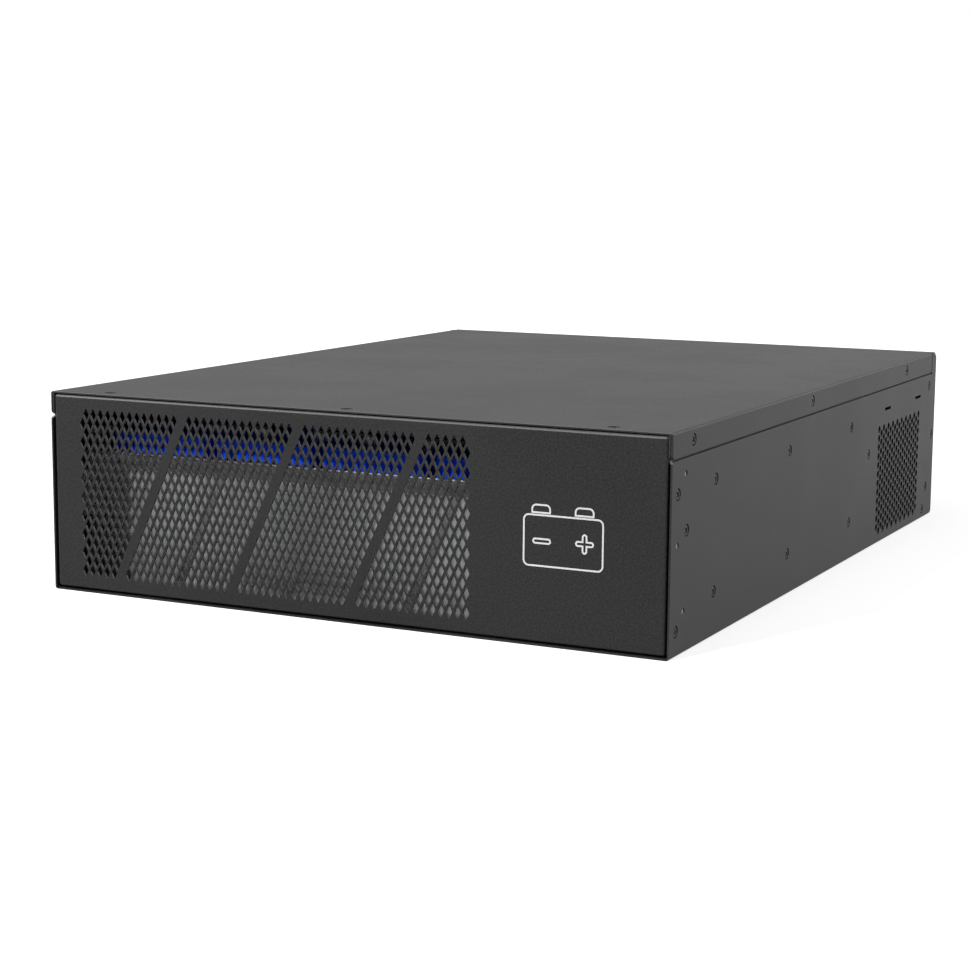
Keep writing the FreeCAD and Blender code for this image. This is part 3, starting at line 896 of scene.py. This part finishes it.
@dataclass
class GrillePanel:
    """Front panel: a pan with rounded folds, and staggered diamonds broken by slanting bars. Millimetres."""

    half_width: float = 217.3
    bottom: float = 2.35
    top: float = 131.0
    bend: float = 2.0
    flange: float = 16.0
    bend_steps: int = 6
    first_x: float = -194.6
    half_pitch: float = 2.889
    top_row: float = 118.85
    row_pitch: float = 6.118
    rows: int = 18
    columns: int = 50
    web: float = 1.3
    hole_sides: int = 4
    hole_round: float = 0.6
    hole_steps: int = 2
    bar_places: tuple[int, ...] = (27, 57, 87)
    stud_marks: tuple[Place, ...] = ((101.1, 112.2), (101.5, 20.4), (-203.1, 112.8), (-204.9, 20.1))
    mark_radius: float = 3.9
    mark_half: float = 0.4
    mark_height: float = 0.12
    mark_sides: int = 28
    notch: Window = Window(3.2, 16.5, 59.2, 73.2)
    notch_inside: float = 2.4
    notch_outside: float = 1.0

    def hole_places(self) -> list[Place]:
        """Lists the middles of the diamonds, leaving out one place in a row for each bar.

        Returns:
            The middles on the panel's face.
        """
        places = []
        for row in range(self.rows):
            z = self.top_row - row * self.row_pitch
            for step in range(1 - row % 2, 2 * self.columns - 1, 2):
                if step + row not in self.bar_places:
                    places.append((self.first_x + step * self.half_pitch, z))
        return places

    def hole_size(self) -> Place:
        """Sizes a diamond so that it leaves the wanted web to its neighbours.

        Returns:
            Its width and height.
        """
        reach = self.half_pitch * self.row_pitch / math.hypot(self.half_pitch, self.row_pitch)
        share = (reach - self.web / 2) / reach
        return 2 * self.half_pitch * share, 2 * self.row_pitch * share

    def face(self) -> Piece:
        """Makes the flat perforated face between the folds.

        Returns:
            The face, still open at its rim.
        """
        wide, high = self.hole_size()
        piece = points_piece("front_grille", [Vector((x * MM, z * MM, 0.0)) for x, z in self.hole_places()])
        grow(piece, perforated_sheet_tree(), {
            "Width": 2 * (self.half_width - self.bend) * MM,
            "Height": (self.top - self.bottom - 2 * self.bend) * MM,
            "Middle": (0.0, (self.top + self.bottom) / 2 * MM, 0.0),
            "Hole Width": wide * MM, "Hole Height": high * MM, "Hole Sides": self.hole_sides,
            "Hole Round": self.hole_round * MM, "Round Steps": self.hole_steps, "Thickness": SHEET * MM,
        })
        piece.data.transform(Matrix.Translation(at(0.0, SHEET, 0.0)) @ Matrix.Rotation(QUARTER, 4, "X"))
        return piece

    def fold_profile(self) -> list[Place]:
        """Draws the fold's section, from the face's edge round to its back.

        Returns:
            Outset and depth along the section.
        """
        inner = self.bend - SHEET
        turns = [i / self.bend_steps * QUARTER for i in range(self.bend_steps + 1)]
        outside = [(self.bend * math.sin(t), self.bend * (1 - math.cos(t))) for t in turns]
        inside = [(inner * math.sin(t), SHEET + inner * (1 - math.cos(t))) for t in reversed(turns)]
        return outside + [(self.bend, self.flange), (inner, self.flange)] + inside

    def add_folds(self, shape: Shape) -> None:
        """Runs the fold's section round the face, with rounded corners.

        Args:
            shape: Shape of the face.
        """
        x, low, high = self.half_width - self.bend, self.bottom + self.bend, self.top - self.bend
        rings = []
        for outset, depth in self.fold_profile():
            block = Window(-x - outset, x + outset, low - outset, high + outset)
            outline = rounded_outline(block, outset, outset, self.bend_steps)
            rings.append([at(along, depth, z) for along, z in outline])
        skin(shape, rings)

    def build(self) -> Piece:
        """Joins face and folds into one closed sheet and notches its flanges for the middle ear collars.

        Returns:
            The panel.
        """
        piece = self.face()
        with opened(piece.data) as shape:
            self.add_folds(shape)
            bmesh.ops.remove_doubles(shape, verts=shape.verts, dist=SEAM_MERGE)
            bmesh.ops.dissolve_degenerate(shape, edges=shape.edges, dist=MERGE)
            rim = [face for face in shape.faces if sum(len(edge.link_faces) > 2 for edge in face.edges) > 1]
            bmesh.ops.delete(shape, geom=rim, context="FACES")
            face_out(shape)
        inner, outer = self.half_width - self.notch_inside, self.half_width + self.notch_outside
        combine(piece, boxes_piece("collar_notches", side_blocks(inner, outer, self.notch)), "DIFFERENCE")
        return soften(piece)

    def marks(self) -> Piece:
        """Makes the faint rings that pressed-in studs leave on the face.

        Returns:
            The rings.
        """
        inner, outer = self.mark_radius - self.mark_half, self.mark_radius + self.mark_half
        ring = lathe([(inner, 0.0), (self.mark_radius, self.mark_height), (outer, 0.0)], self.mark_sides)
        places = [at(x, 0.0, z) for x, z in self.stud_marks]
        return soften(set_out("front_stud_marks", ring, places, [FORWARD] * len(places)))

    def dress(self) -> None:
        """Builds the panel's pieces, paints them and puts them on the cabinet."""
        enter(self.build(), PANEL_PAINT, ["front_panel"])
        enter(self.marks(), PANEL_PAINT)


@dataclass
class BatterySign:
    """Printed outline of a battery with its two poles. Millimetres, as seen on the panel's face."""

    stroke: float = 1.05
    film: float = 0.05
    body: Window = Window(126.6, 177.6, 48.7, 79.2)
    body_corner: float = 3.2
    caps: tuple[Window, ...] = (Window(132.0, 143.6, 80.7, 85.3), Window(160.0, 171.5, 80.7, 85.3))
    cap_corner: float = 2.6
    minus: Window = Window(132.8, 143.8, 62.35, 64.95)
    plus_middle: Place = (165.95, 64.1)
    plus_reach: float = 5.5
    plus_half: float = 1.25
    corner_steps: int = 6
    point_merge: float = 1e-6
    least_mitre: float = 0.5

    def plus(self) -> list[Place]:
        """Draws a plus sign with rounded ends.

        Returns:
            Its closed outline.
        """
        cx, cz = self.plus_middle
        half, reach = self.plus_half, self.plus_reach - self.plus_half
        inner = half * math.sqrt(2)
        points = []
        for quarter in range(4):
            way = quarter * QUARTER
            for i in range(self.corner_steps + 1):
                turn = way - QUARTER + i / self.corner_steps * math.pi
                points.append((cx + reach * math.cos(way) + half * math.cos(turn),
                               cz + reach * math.sin(way) + half * math.sin(turn)))
            corner = way + QUARTER / 2
            points.append((cx + inner * math.cos(corner), cz + inner * math.sin(corner)))
        return points

    def outlines(self) -> list[list[Place]]:
        """Draws all lines of the sign.

        Returns:
            Its closed outlines.
        """
        end = (self.minus.high - self.minus.low) / 2
        blocks = [(self.body, self.body_corner, self.body_corner), (self.minus, end, end)]
        blocks += [(cap, 0.0, self.cap_corner) for cap in self.caps]
        return [rounded_outline(*block, self.corner_steps) for block in blocks] + [self.plus()]

    def add_line(self, shape: Shape, outline: Sequence[Place]) -> None:
        """Draws one closed line as a thin raised band.

        Args:
            shape: Shape that gets the band.
            outline: Points along the line's middle.
        """
        points = [Vector(point) for i, point in enumerate(outline)
                  if math.dist(point, outline[i - 1]) > self.point_merge]
        bands = []
        for before, here, after in zip(points[-1:] + points, points, points[1:] + points[:1]):
            come, go = (here - before).normalized(), (after - here).normalized()
            square = Vector((come.y, -come.x))
            side = (square + Vector((go.y, -go.x))).normalized()
            side *= self.stroke / 2 / max(side.dot(square), self.least_mitre)
            right, left = here + side, here - side
            corners = ((right, -self.film), (left, -self.film), (left, 0.0), (right, 0.0))
            bands.append([at(rim.x, depth, rim.y) for rim, depth in corners])
        skin(shape, bands, closed=True)

    def dress(self) -> None:
        """Builds the print and puts it on the panel."""
        shape = bmesh.new()
        for outline in self.outlines():
            self.add_line(shape, outline)
        enter(piece_from("battery_sign", face_out(shape)), WHITE_INK)


@dataclass(frozen=True)
class Drill:
    """Round cutter through a sheet, straight or narrowing inwards. Millimetres."""

    radius: float
    sides: int
    slope: float = 0.0
    reach: float = 3.0
    above: float = 0.5

    def cutters(self, spots: Spots) -> Piece:
        """Sets out the cutters.

        Args:
            spots: Points on the sheet's face and the ways that they face.

        Returns:
            A helper object that holds all cutters.
        """
        shape = bmesh.new()
        inner = self.radius - self.slope * (self.reach - self.above)
        outer = self.radius + self.slope * self.above
        deep = Matrix.Translation((0.0, 0.0, (self.above - self.reach / 2) * MM))
        bmesh.ops.create_cone(shape, cap_ends=True, segments=self.sides, radius1=inner * MM,
                              radius2=outer * MM, depth=self.reach * MM, matrix=deep)
        return set_out("drill", shape, *spots)


@dataclass(frozen=True)
class CrossHead:
    """Flat screw head with a cross recess, its face at the origin. Millimetres, with shares of its sizes."""

    radius: float
    depth: float
    flange: float = 0.0
    flange_sheet: float = 0.25
    sides: int = 24
    face_share: float = 0.93
    arm_share: float = 0.76
    half_share: float = 0.23
    floor_share: float = 0.6
    sink_share: float = 0.8

    def rounds(self) -> list[list[Point]]:
        """Draws the head from its face down.

        Returns:
            Its rings of points.
        """
        face = self.face_share * self.radius
        levels = [(face, 0.0), (self.radius, face - self.radius), (self.radius, -self.depth)]
        if self.flange:
            brim = self.radius + self.flange
            levels += [(brim, -self.depth), (brim, -self.depth - self.flange_sheet)]
        turns = [TURN * i / self.sides for i in range(self.sides)]
        return [[(r * MM * math.cos(t), r * MM * math.sin(t), h * MM) for t in turns] for r, h in levels]

    def recess(self) -> list[list[Point]]:
        """Draws the cross from the face down.

        Returns:
            Its rings of points.
        """
        half = self.half_share * self.radius * MM
        rings = []
        for share, height in ((1.0, 0.0), (self.floor_share, -self.sink_share * self.depth * MM)):
            arm = share * self.arm_share * self.radius * MM
            turns = [Matrix.Rotation(quarter * QUARTER, 2) for quarter in range(4)]
            corners = [Vector(corner) for corner in ((arm, -half), (arm, half), (half, half))]
            rings.append([(*(turn @ corner), height) for turn in turns for corner in corners])
        return rings

    def build(self) -> Shape:
        """Joins head and recess.

        Returns:
            The closed head.
        """
        shape = bmesh.new()
        rims = []
        for rings in (self.rounds(), self.recess()):
            corners = skin(shape, rings)
            shape.faces.new(corners[-1])
            rims += [shape.edges.get(pair) for pair in zip(corners[0], corners[0][1:] + corners[0][:1])]
        bmesh.ops.triangle_fill(shape, edges=rims, use_beauty=True)
        return face_out(shape)


@dataclass
class CaseShell:
    """Folded chassis and cover with their fine vents, screws and threads. Millimetres."""

    vent: Drill = Drill(2.9, 14)
    vent_first: Place = (424.5, 87.4)
    vent_pitch: Place = (6.15, 6.79)
    vent_columns: int = 19
    vent_rows: int = 12
    field: Window = Window(425.0, 546.0, 8.5, 92.0)
    seat: Drill = Drill(3.8, 28)
    head_radius: float = 3.0
    head_inset: float = 0.27
    head_flange: float = 1.0
    head_slack: float = 0.02
    head_seed: int = 5
    seam: Window = Window(2.0, 571.5, 115.0, 116.35)
    seam_inner: float = 218.5
    lip_round: float = 0.45
    lip_steps: int = 4
    lip_level: float = 0.1
    lip_reach: float = 0.01
    rear_clip: Place = (5.5, 4.0)
    clip_margin: float = 0.5
    wall_screws: tuple[Place, ...] = (
        (9.8, 96.4), (9.8, 15.5), (24.5, 73.3), (72.3, 97.3), (72.3, 28.1), (212.1, 97.3), (212.1, 28.1),
        (351.5, 97.3), (351.5, 28.1), (397.5, 72.0), (565.1, 107.4), (577.4, 66.7), (565.1, 25.1),
        (556.4, 7.7),
    )
    cover_screws: tuple[Place, ...] = ((33.6, 125.7), (258.6, 125.7), (496.1, 125.7))
    top_screws: tuple[Place, ...] = ((-179.0, 10.0), (0.0, 10.0), (179.0, 10.0))
    ear_holes: tuple[Place, ...] = ((21.6, 107.1), (10.2, 66.2), (21.6, 25.6))
    ear_mouth: Drill = Drill(2.4, 28, slope=0.85)
    thread_turns: int = 7
    thread_ends: Place = (-3.6, -0.9)
    thread_wall: float = 1.64
    thread_root: float = 1.62
    thread_crest: float = 1.4
    thread_sides: int = 18

    def vent_places(self) -> list[Place]:
        """Sets out staggered columns of round vents near the rear of a wall.

        Returns:
            Their depths and heights.
        """
        y, z = self.vent_first
        step_y, step_z = self.vent_pitch
        return [(y + column * step_y, z - (row + column % 2 / 2) * step_z)
                for column in range(self.vent_columns) for row in range(self.vent_rows)]

    def cover_spots(self, inset: float = 0.0) -> Spots:
        """Sets out the cover's screws, on its skirts and along its front.

        Args:
            inset: How far inside the cover's face, in millimetres.

        Returns:
            The points and the ways that they face.
        """
        points, ways = on_sides(self.cover_screws, inset)
        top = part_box("top_cover")[1].z / MM - inset
        points += [at(x, y, top) for x, y in self.top_screws]
        ways += [UPWARD] * len(self.top_screws)
        return points, ways

    def chassis(self) -> Piece:
        """Copies the chassis, squares its seam, closes its coarse vents and cuts the fine holes.

        Returns:
            The chassis.
        """
        piece = node_copy("chassis", "case_shell")
        outer = SIDE / MM
        blocks = side_blocks(self.seam_inner, outer, self.seam)
        blocks += side_blocks(outer - SHEET, outer, self.field)
        combine(piece, boxes_piece("wall_blocks", blocks), "UNION")
        cuts = ((self.vent, self.vent_places()), (self.seat, self.wall_screws),
                (self.ear_mouth, self.ear_holes))
        for drill, places in cuts:
            combine(piece, drill.cutters(on_sides(places)), "DIFFERENCE")
        combine(piece, self.corner_cutter(), "DIFFERENCE")
        clean(piece)
        return soften(piece)

    def corner_cutter(self) -> Piece:
        """Makes a three-sided bar that clips the upper rear corner of both walls.

        Returns:
            The helper object.
        """
        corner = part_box("chassis")[1]
        depth, drop = (value * MM for value in self.rear_clip)
        back, top = corner.y + self.clip_margin * MM, corner.z + self.clip_margin * MM
        section = ((corner.y - depth, top), (back, top), (back, corner.z - drop))
        shape = bmesh.new()
        skin(shape, [[(end, y, z) for y, z in section] for end in (-2 * SIDE, 2 * SIDE)], capped=True)
        return piece_from("corner_cutter", face_out(shape))

    def cover(self) -> Piece:
        """Copies the cover, rounds its front lip and cuts its screw seats.

        Returns:
            The cover.
        """
        piece = node_copy("top_cover", "cover_shell")
        self.round_lip(piece)
        combine(piece, self.seat.cutters(self.cover_spots()), "DIFFERENCE")
        return soften(piece)

    def round_lip(self, piece: Piece) -> None:
        """Rounds the outer edge of the cover's front end.

        Args:
            piece: The cover.
        """
        with opened(piece.data) as shape:
            front = min(vert.co.y for vert in shape.verts)
            middle = Vector((0.0, front, max(vert.co.z for vert in shape.verts) / 2))
            edges = []
            for edge in shape.edges:
                near = all(abs(vert.co.y - front) < self.lip_reach * MM for vert in edge.verts)
                if near and len(edge.link_faces) == 2:
                    outward = (edge.verts[0].co + edge.verts[1].co) / 2 - middle
                    flank = min(edge.link_faces, key=lambda face: abs(face.normal.y))
                    if flank.normal.dot(outward) > 0 and abs(flank.normal.y) < self.lip_level:
                        edges.append(edge)
            bmesh.ops.bevel(shape, geom=edges, offset=self.lip_round * MM, segments=self.lip_steps,
                            profile=0.5, affect="EDGES", clamp_overlap=True)

    def screws(self) -> Piece:
        """Makes the sunk screws of walls and cover, each with its flange behind the sheet.

        Returns:
            The screws.
        """
        points, ways = on_sides(self.wall_screws, self.head_inset)
        cover_points, cover_ways = self.cover_spots(self.head_inset)
        head = CrossHead(self.head_radius, SHEET - self.head_inset + self.head_slack, self.head_flange)
        return soften(set_out("case_screws", head.build(), points + cover_points, ways + cover_ways,
                              QUARTER, self.head_seed))

    def ear_threads(self) -> Piece:
        """Makes the bright threaded bushes inside the rack-ear holes.

        Returns:
            The bushes.
        """
        low, high = self.thread_ends
        pitch = (high - low) / self.thread_turns
        profile = [(self.thread_wall, low)]
        for i in range(self.thread_turns):
            profile += [(self.thread_root, low + i * pitch), (self.thread_crest, low + (i + 0.5) * pitch)]
        profile += [(self.thread_root, high), (self.thread_wall, high)]
        return set_out("ear_threads", lathe(profile, self.thread_sides), *on_sides(self.ear_holes))

    def dress(self) -> None:
        """Builds the case's pieces, paints them and puts them on the cabinet."""
        enter(self.chassis(), CASE_PAINT, ["chassis"])
        enter(self.cover(), CASE_PAINT, ["top_cover"])
        enter(self.screws(), SCREW_BLACK)
        enter(self.ear_threads(), BUSH_STEEL)


@dataclass
class BatteryBlocks:
    """The sealed blocks, each with rounded corners and a lid line. Millimetres."""

    corner: float = 2.4
    corner_steps: int = 4
    lid_drop: float = 17.0
    groove: float = 0.7
    foot_round: float = 0.8
    top_round: float = 1.5
    top_break: float = 0.45
    count: int = 20

    def block(self, half_x: float, half_y: float, height: float) -> Shape:
        """Makes one block, standing on the origin.

        Args:
            half_x: Half its width.
            half_y: Half its depth.
            height: Its height.

        Returns:
            The closed block.
        """
        lid = height - self.lid_drop
        levels = ((self.foot_round, 0.0), (0.0, self.foot_round), (0.0, lid - self.groove),
                  (self.groove, lid), (0.0, lid + self.groove), (0.0, height - self.top_round),
                  (self.top_break, height - self.top_break), (self.top_round, height))
        rings = []
        for inset, z in levels:
            across, deep, radius = half_x - inset, half_y - inset, self.corner - inset
            outline = rounded_outline(Window(-across, across, -deep, deep), radius, radius, self.corner_steps)
            rings.append([(x * MM, y * MM, z * MM) for x, y in outline])
        shape = bmesh.new()
        skin(shape, rings, capped=True)
        return face_out(shape)

    def dress(self) -> None:
        """Stands one block on each packed block's place."""
        nodes = [f"battery_{i + 1:02d}" for i in range(self.count)]
        boxes = [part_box(node) for node in nodes]
        low, high = boxes[0]
        size = (high - low) / MM
        places = [Vector(((a.x + b.x) / 2, (a.y + b.y) / 2, a.z)) for a, b in boxes]
        block = self.block(size.x / 2, size.y / 2, size.z)
        piece = set_out("battery_blocks", block, places, [UPWARD] * len(places))
        enter(soften(piece), BATTERY_BLUE, nodes)


@dataclass
class RetainerBead:
    """Bright rolled edge along the flared top of the front retainer. Millimetres."""

    flare: float = 12.0
    sink: float = 0.3
    radius: float = 0.85
    sides: int = 14

    def dress(self) -> None:
        """Builds the bead along the flare's tip and puts it on the cabinet."""
        low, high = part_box("front_retainer")
        tip = Vector((0.0, high.y - self.flare * MM, high.z - self.sink * MM))
        lying = Matrix.Translation(tip) @ Matrix.Rotation(QUARTER, 4, "Y")
        shape = bmesh.new()
        bmesh.ops.create_cone(shape, cap_ends=True, segments=self.sides, radius1=self.radius * MM,
                              radius2=self.radius * MM, depth=high.x - low.x, matrix=lying)
        enter(soften(piece_from("retainer_bead", shape)), RETAINER_ZINC)


@dataclass
class RearFittings:
    """Breaker, connectors and earth stud on the rear panel, with rounded mouldings. Millimetres."""

    moulding_round: float = 0.6
    lever_round: float = 0.4
    connector_round: float = 0.5
    screw: CrossHead = CrossHead(2.1, 0.8)
    screw_seed: int = 9
    connector_screw_outset: float = -2.5
    connector_screw_height: float = 3.6
    breaker_screw_outset: float = 3.2
    breaker_screw_height: float = 0.6
    stud_radius: float = 3.0
    stud_sides: int = 20
    stud_tip: float = 0.7
    thread_pitch: float = 1.0
    thread_depth: float = 0.55
    thread_start: float = 2.0
    thread_margin: float = 0.8
    hexagon_radius: float = 5.77
    hexagon_height: float = 4.0

    def screws(self) -> Piece:
        """Makes the small screws in the connectors' flanges and beside the breaker.

        Returns:
            The screws.
        """
        places = []
        for node, outset, height in (
                ("connector_1", self.connector_screw_outset, self.connector_screw_height),
                ("connector_2", self.connector_screw_outset, self.connector_screw_height),
                ("breaker_body", self.breaker_screw_outset, self.breaker_screw_height)):
            low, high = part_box(node)
            for x in (low.x - outset * MM, high.x + outset * MM):
                places.append(Vector((x, -FRONT + height * MM, (low.z + high.z) / 2)))
        ways = [REARWARD] * len(places)
        head = self.screw.build()
        return soften(set_out("rear_screws", head, places, ways, QUARTER, self.screw_seed))

    def stud(self) -> Piece:
        """Makes the earth stud with its hexagon head inside and its thread outside the nut.

        Returns:
            The stud.
        """
        start, end = (corner.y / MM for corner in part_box("earth_stud"))
        nut_low, nut_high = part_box("earth_nut")
        centre = (nut_low + nut_high) / 2
        y = nut_high.y / MM - self.thread_start
        radius, pitch = self.stud_radius, self.thread_pitch
        profile = [(0.0, start), (radius, start), (radius, y)]
        while y + pitch < end - self.thread_margin:
            profile += [(radius - self.thread_depth, y + pitch / 2), (radius, y + pitch)]
            y += pitch
        shape = lathe(profile + [(radius - self.stud_tip, end), (0.0, end)], self.stud_sides)
        middle = Matrix.Translation((0.0, 0.0, (start + self.hexagon_height / 2) * MM))
        bmesh.ops.create_cone(shape, cap_ends=True, segments=6, radius1=self.hexagon_radius * MM,
                              radius2=self.hexagon_radius * MM, depth=self.hexagon_height * MM,
                              matrix=middle @ Matrix.Rotation(QUARTER / 3, 4, "Z"))
        stand = Matrix.Translation((centre.x, 0.0, centre.z)) @ Matrix.Rotation(-QUARTER, 4, "X")
        bmesh.ops.transform(shape, matrix=stand, verts=shape.verts)
        return soften(piece_from("earth_stud_thread", shape))

    def dress(self) -> None:
        """Builds the fittings, paints them and puts them on their bodies."""
        breaker = (self.moulding_round, PALE_MOULDING, Slot.BREAKER, Body.CABINET)
        lever = (self.lever_round, BLACK_MOULDING, Slot.LEVER, Body.LEVER)
        connector = (self.connector_round, GREY_MOULDING, Slot.CONNECTOR, Body.CABINET)
        for node, name, (width, finish, slot, body) in (
                ("breaker_body", "breaker_shell", breaker), ("breaker_lever", "breaker_toggle", lever),
                ("connector_1", "connector_1_shell", connector),
                ("connector_2", "connector_2_shell", connector)):
            enter(soften(node_copy(node, name), width * MM), finish, [node], body)
        enter(self.screws(), ZINC)
        enter(self.stud(), ZINC, ["earth_stud"])


@dataclass
class PlainParts:
    """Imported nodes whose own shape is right, and the finish that each one gets."""

    finishes: tuple[tuple[Finish, tuple[str, ...]], ...] = (
        (CASE_PAINT, ("rear_panel",)),
        (RETAINER_ZINC, ("front_retainer",)),
        (GALVANISED, ("battery_tray", "rear_retainer", "hold_down_bar_front", "hold_down_bar_rear",
                      "breaker_bracket")),
        (FILM, ("insulating_sheet",)),
        (FOAM, ("side_pads", "column_spacer_1", "column_spacer_2", "column_spacer_3", "column_spacer_4")),
        (DULL_LEAD, ("terminal_posts",)),
        (SLEEVE_BLACK, ("series_links", "negative_lead", "negative_bus")),
        (SLEEVE_RED, ("positive_lead", "positive_bus")),
        (SILVERED, ("connector_contacts",)),
        (ZINC, ("earth_nut",)),
    )

    def dress(self) -> None:
        """Puts each finish into its nodes' material slots."""
        for finish, nodes in self.finishes:
            for node in nodes:
                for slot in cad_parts[node].material_slots:
                    slot.material = finish.material()
                LOG.info("%s keeps its shape in %s", node, finish.name)


# Studio


@dataclass
class Lamp:
    """One soft square lamp, aimed at the case."""

    name: str
    place: Point
    aim: Point
    size: float
    watts: float

    def build(self) -> None:
        """Hangs the lamp."""
        light = bpy.data.lights.new(self.name, "AREA")
        light.shape = "SQUARE"
        light.size = self.size
        light.energy = self.watts
        lamp = bpy.data.objects.new(self.name, light)
        lamp.location = self.place
        lamp.rotation_euler = (Vector(self.aim) - Vector(self.place)).to_track_quat("-Z", "Y").to_euler()
        bpy.context.scene.collection.objects.link(lamp)


@dataclass
class Studio:
    """White studio: floor, lamps, world and the camera at the photograph's place."""

    lamps: tuple[Lamp, ...] = (
        Lamp("key_front_left", (-1.229, -4.085, 2.762), (0.0, -0.29, 0.07), 0.16, 180.0),
        Lamp("left_soft", (-2.0, -1.4, 1.6), (-0.2, -0.25, 0.06), 1.2, 70.0),
        Lamp("top_soft", (0.2, -0.4, 2.6), (0.0, -0.1, 0.0), 1.6, 16.0),
        Lamp("right_soft", (3.2, -0.7, 1.3), (0.1, 0.0, 0.05), 2.0, 36.0),
        Lamp("right_front", (2.6, -2.4, 1.1), (0.0, -0.29, 0.07), 1.0, 10.0),
        Lamp("right_rear", (2.2, 3.0, 1.5), (0.0, 0.29, 0.07), 1.6, 60.0),
    )
    ambient: float = 0.17
    floor_tone: float = 0.52
    floor_reach: float = 30.0
    floor_glow: float = 0.66
    floor_near: float = 0.8
    floor_far: float = 2.4
    azimuth: float = 26.422
    elevation: float = 8.875
    roll: float = 0.402
    place: Point = (650.96, -1107.4, 287.45)
    lens: float = 77.943
    sensor: float = 36.0
    far: float = 100.0

    def seen(self, graph: Graph) -> Socket:
        """Tells rays that come from the camera, a mirror or glass.

        Args:
            graph: Graph that asks.

        Returns:
            One for such a ray and zero for any other.
        """
        path = graph.add("ShaderNodeLightPath").outputs
        some = graph.math("MAXIMUM", path["Is Camera Ray"], path["Is Glossy Ray"])
        return graph.math("MAXIMUM", some, path["Is Transmission Ray"])

    def world(self) -> None:
        """Makes a world that looks white and lights softly."""
        world = bpy.data.worlds.new("studio")
        bpy.context.scene.world = world
        graph = blank(world)
        shown = graph.result("ShaderNodeBackground", {0: WHITE, 1: 1.0})
        light = graph.result("ShaderNodeBackground", {0: WHITE, 1: self.ambient})
        mixed = graph.result("ShaderNodeMixShader", {0: self.seen(graph), 1: light, 2: shown})
        graph.add("ShaderNodeOutputWorld", {"Surface": mixed})

    def floor(self) -> None:
        """Lays a pale floor that reads as white and keeps the case's shadow."""
        shape = bmesh.new()
        bmesh.ops.create_grid(shape, x_segments=2, y_segments=2, size=self.floor_reach / 2)
        piece = piece_from("floor", shape)
        material = bpy.data.materials.new("pale_floor")
        graph = blank(material)
        matte = graph.result("ShaderNodeBsdfDiffuse", {"Color": (*(self.floor_tone,) * 3, 1.0)})
        place = graph.add("ShaderNodeTexCoord").outputs["Object"]
        distance = graph.add("ShaderNodeVectorMath", {0: place}, operation="LENGTH").outputs["Value"]
        rising = graph.spread(distance, self.floor_near, self.floor_far, self.floor_glow, 1.0)
        strength = graph.math("MULTIPLY", self.seen(graph), rising)
        glow = graph.result("ShaderNodeEmission", {"Color": WHITE, "Strength": strength})
        both = graph.result("ShaderNodeAddShader", {0: matte, 1: glow})
        graph.add("ShaderNodeOutputMaterial", {"Surface": both})
        piece.data.materials.append(material)

    def camera(self) -> None:
        """Stands the camera where the photograph was taken from."""
        data = bpy.data.cameras.new("photo_view")
        data.sensor_width = self.sensor
        data.lens = self.lens
        data.clip_end = self.far
        turn, tilt, roll = (math.radians(value) for value in (self.azimuth, self.elevation, self.roll))
        back = Vector((math.sin(turn) * math.cos(tilt), -math.cos(turn) * math.cos(tilt), math.sin(tilt)))
        right = Vector((math.cos(turn), math.sin(turn), 0.0))
        up = back.cross(right)
        across = math.cos(roll) * right + math.sin(roll) * up
        upward = math.cos(roll) * up - math.sin(roll) * right
        camera = bpy.data.objects.new("photo_view", data)
        axes = Matrix((across, upward, back)).transposed().to_4x4()
        camera.matrix_world = Matrix.Translation(at(*self.place)) @ axes
        bpy.context.scene.collection.objects.link(camera)
        bpy.context.scene.camera = camera

    def dress(self) -> None:
        """Sets up the whole studio."""
        bpy.context.scene.view_settings.view_transform = "Standard"
        self.world()
        self.floor()
        self.camera()
        for lamp in self.lamps:
            lamp.build()


def main() -> None:
    """Builds the cabinet's pieces in order, then the studio."""
    logging.basicConfig(level=logging.INFO, format="%(name)s: %(message)s")
    for assembly in (PlainParts(), GrillePanel(), BatterySign(), CaseShell(), BatteryBlocks(), RetainerBead(),
                     RearFittings(), Studio()):
        assembly.dress()


if __name__ == "__main__":
    main()
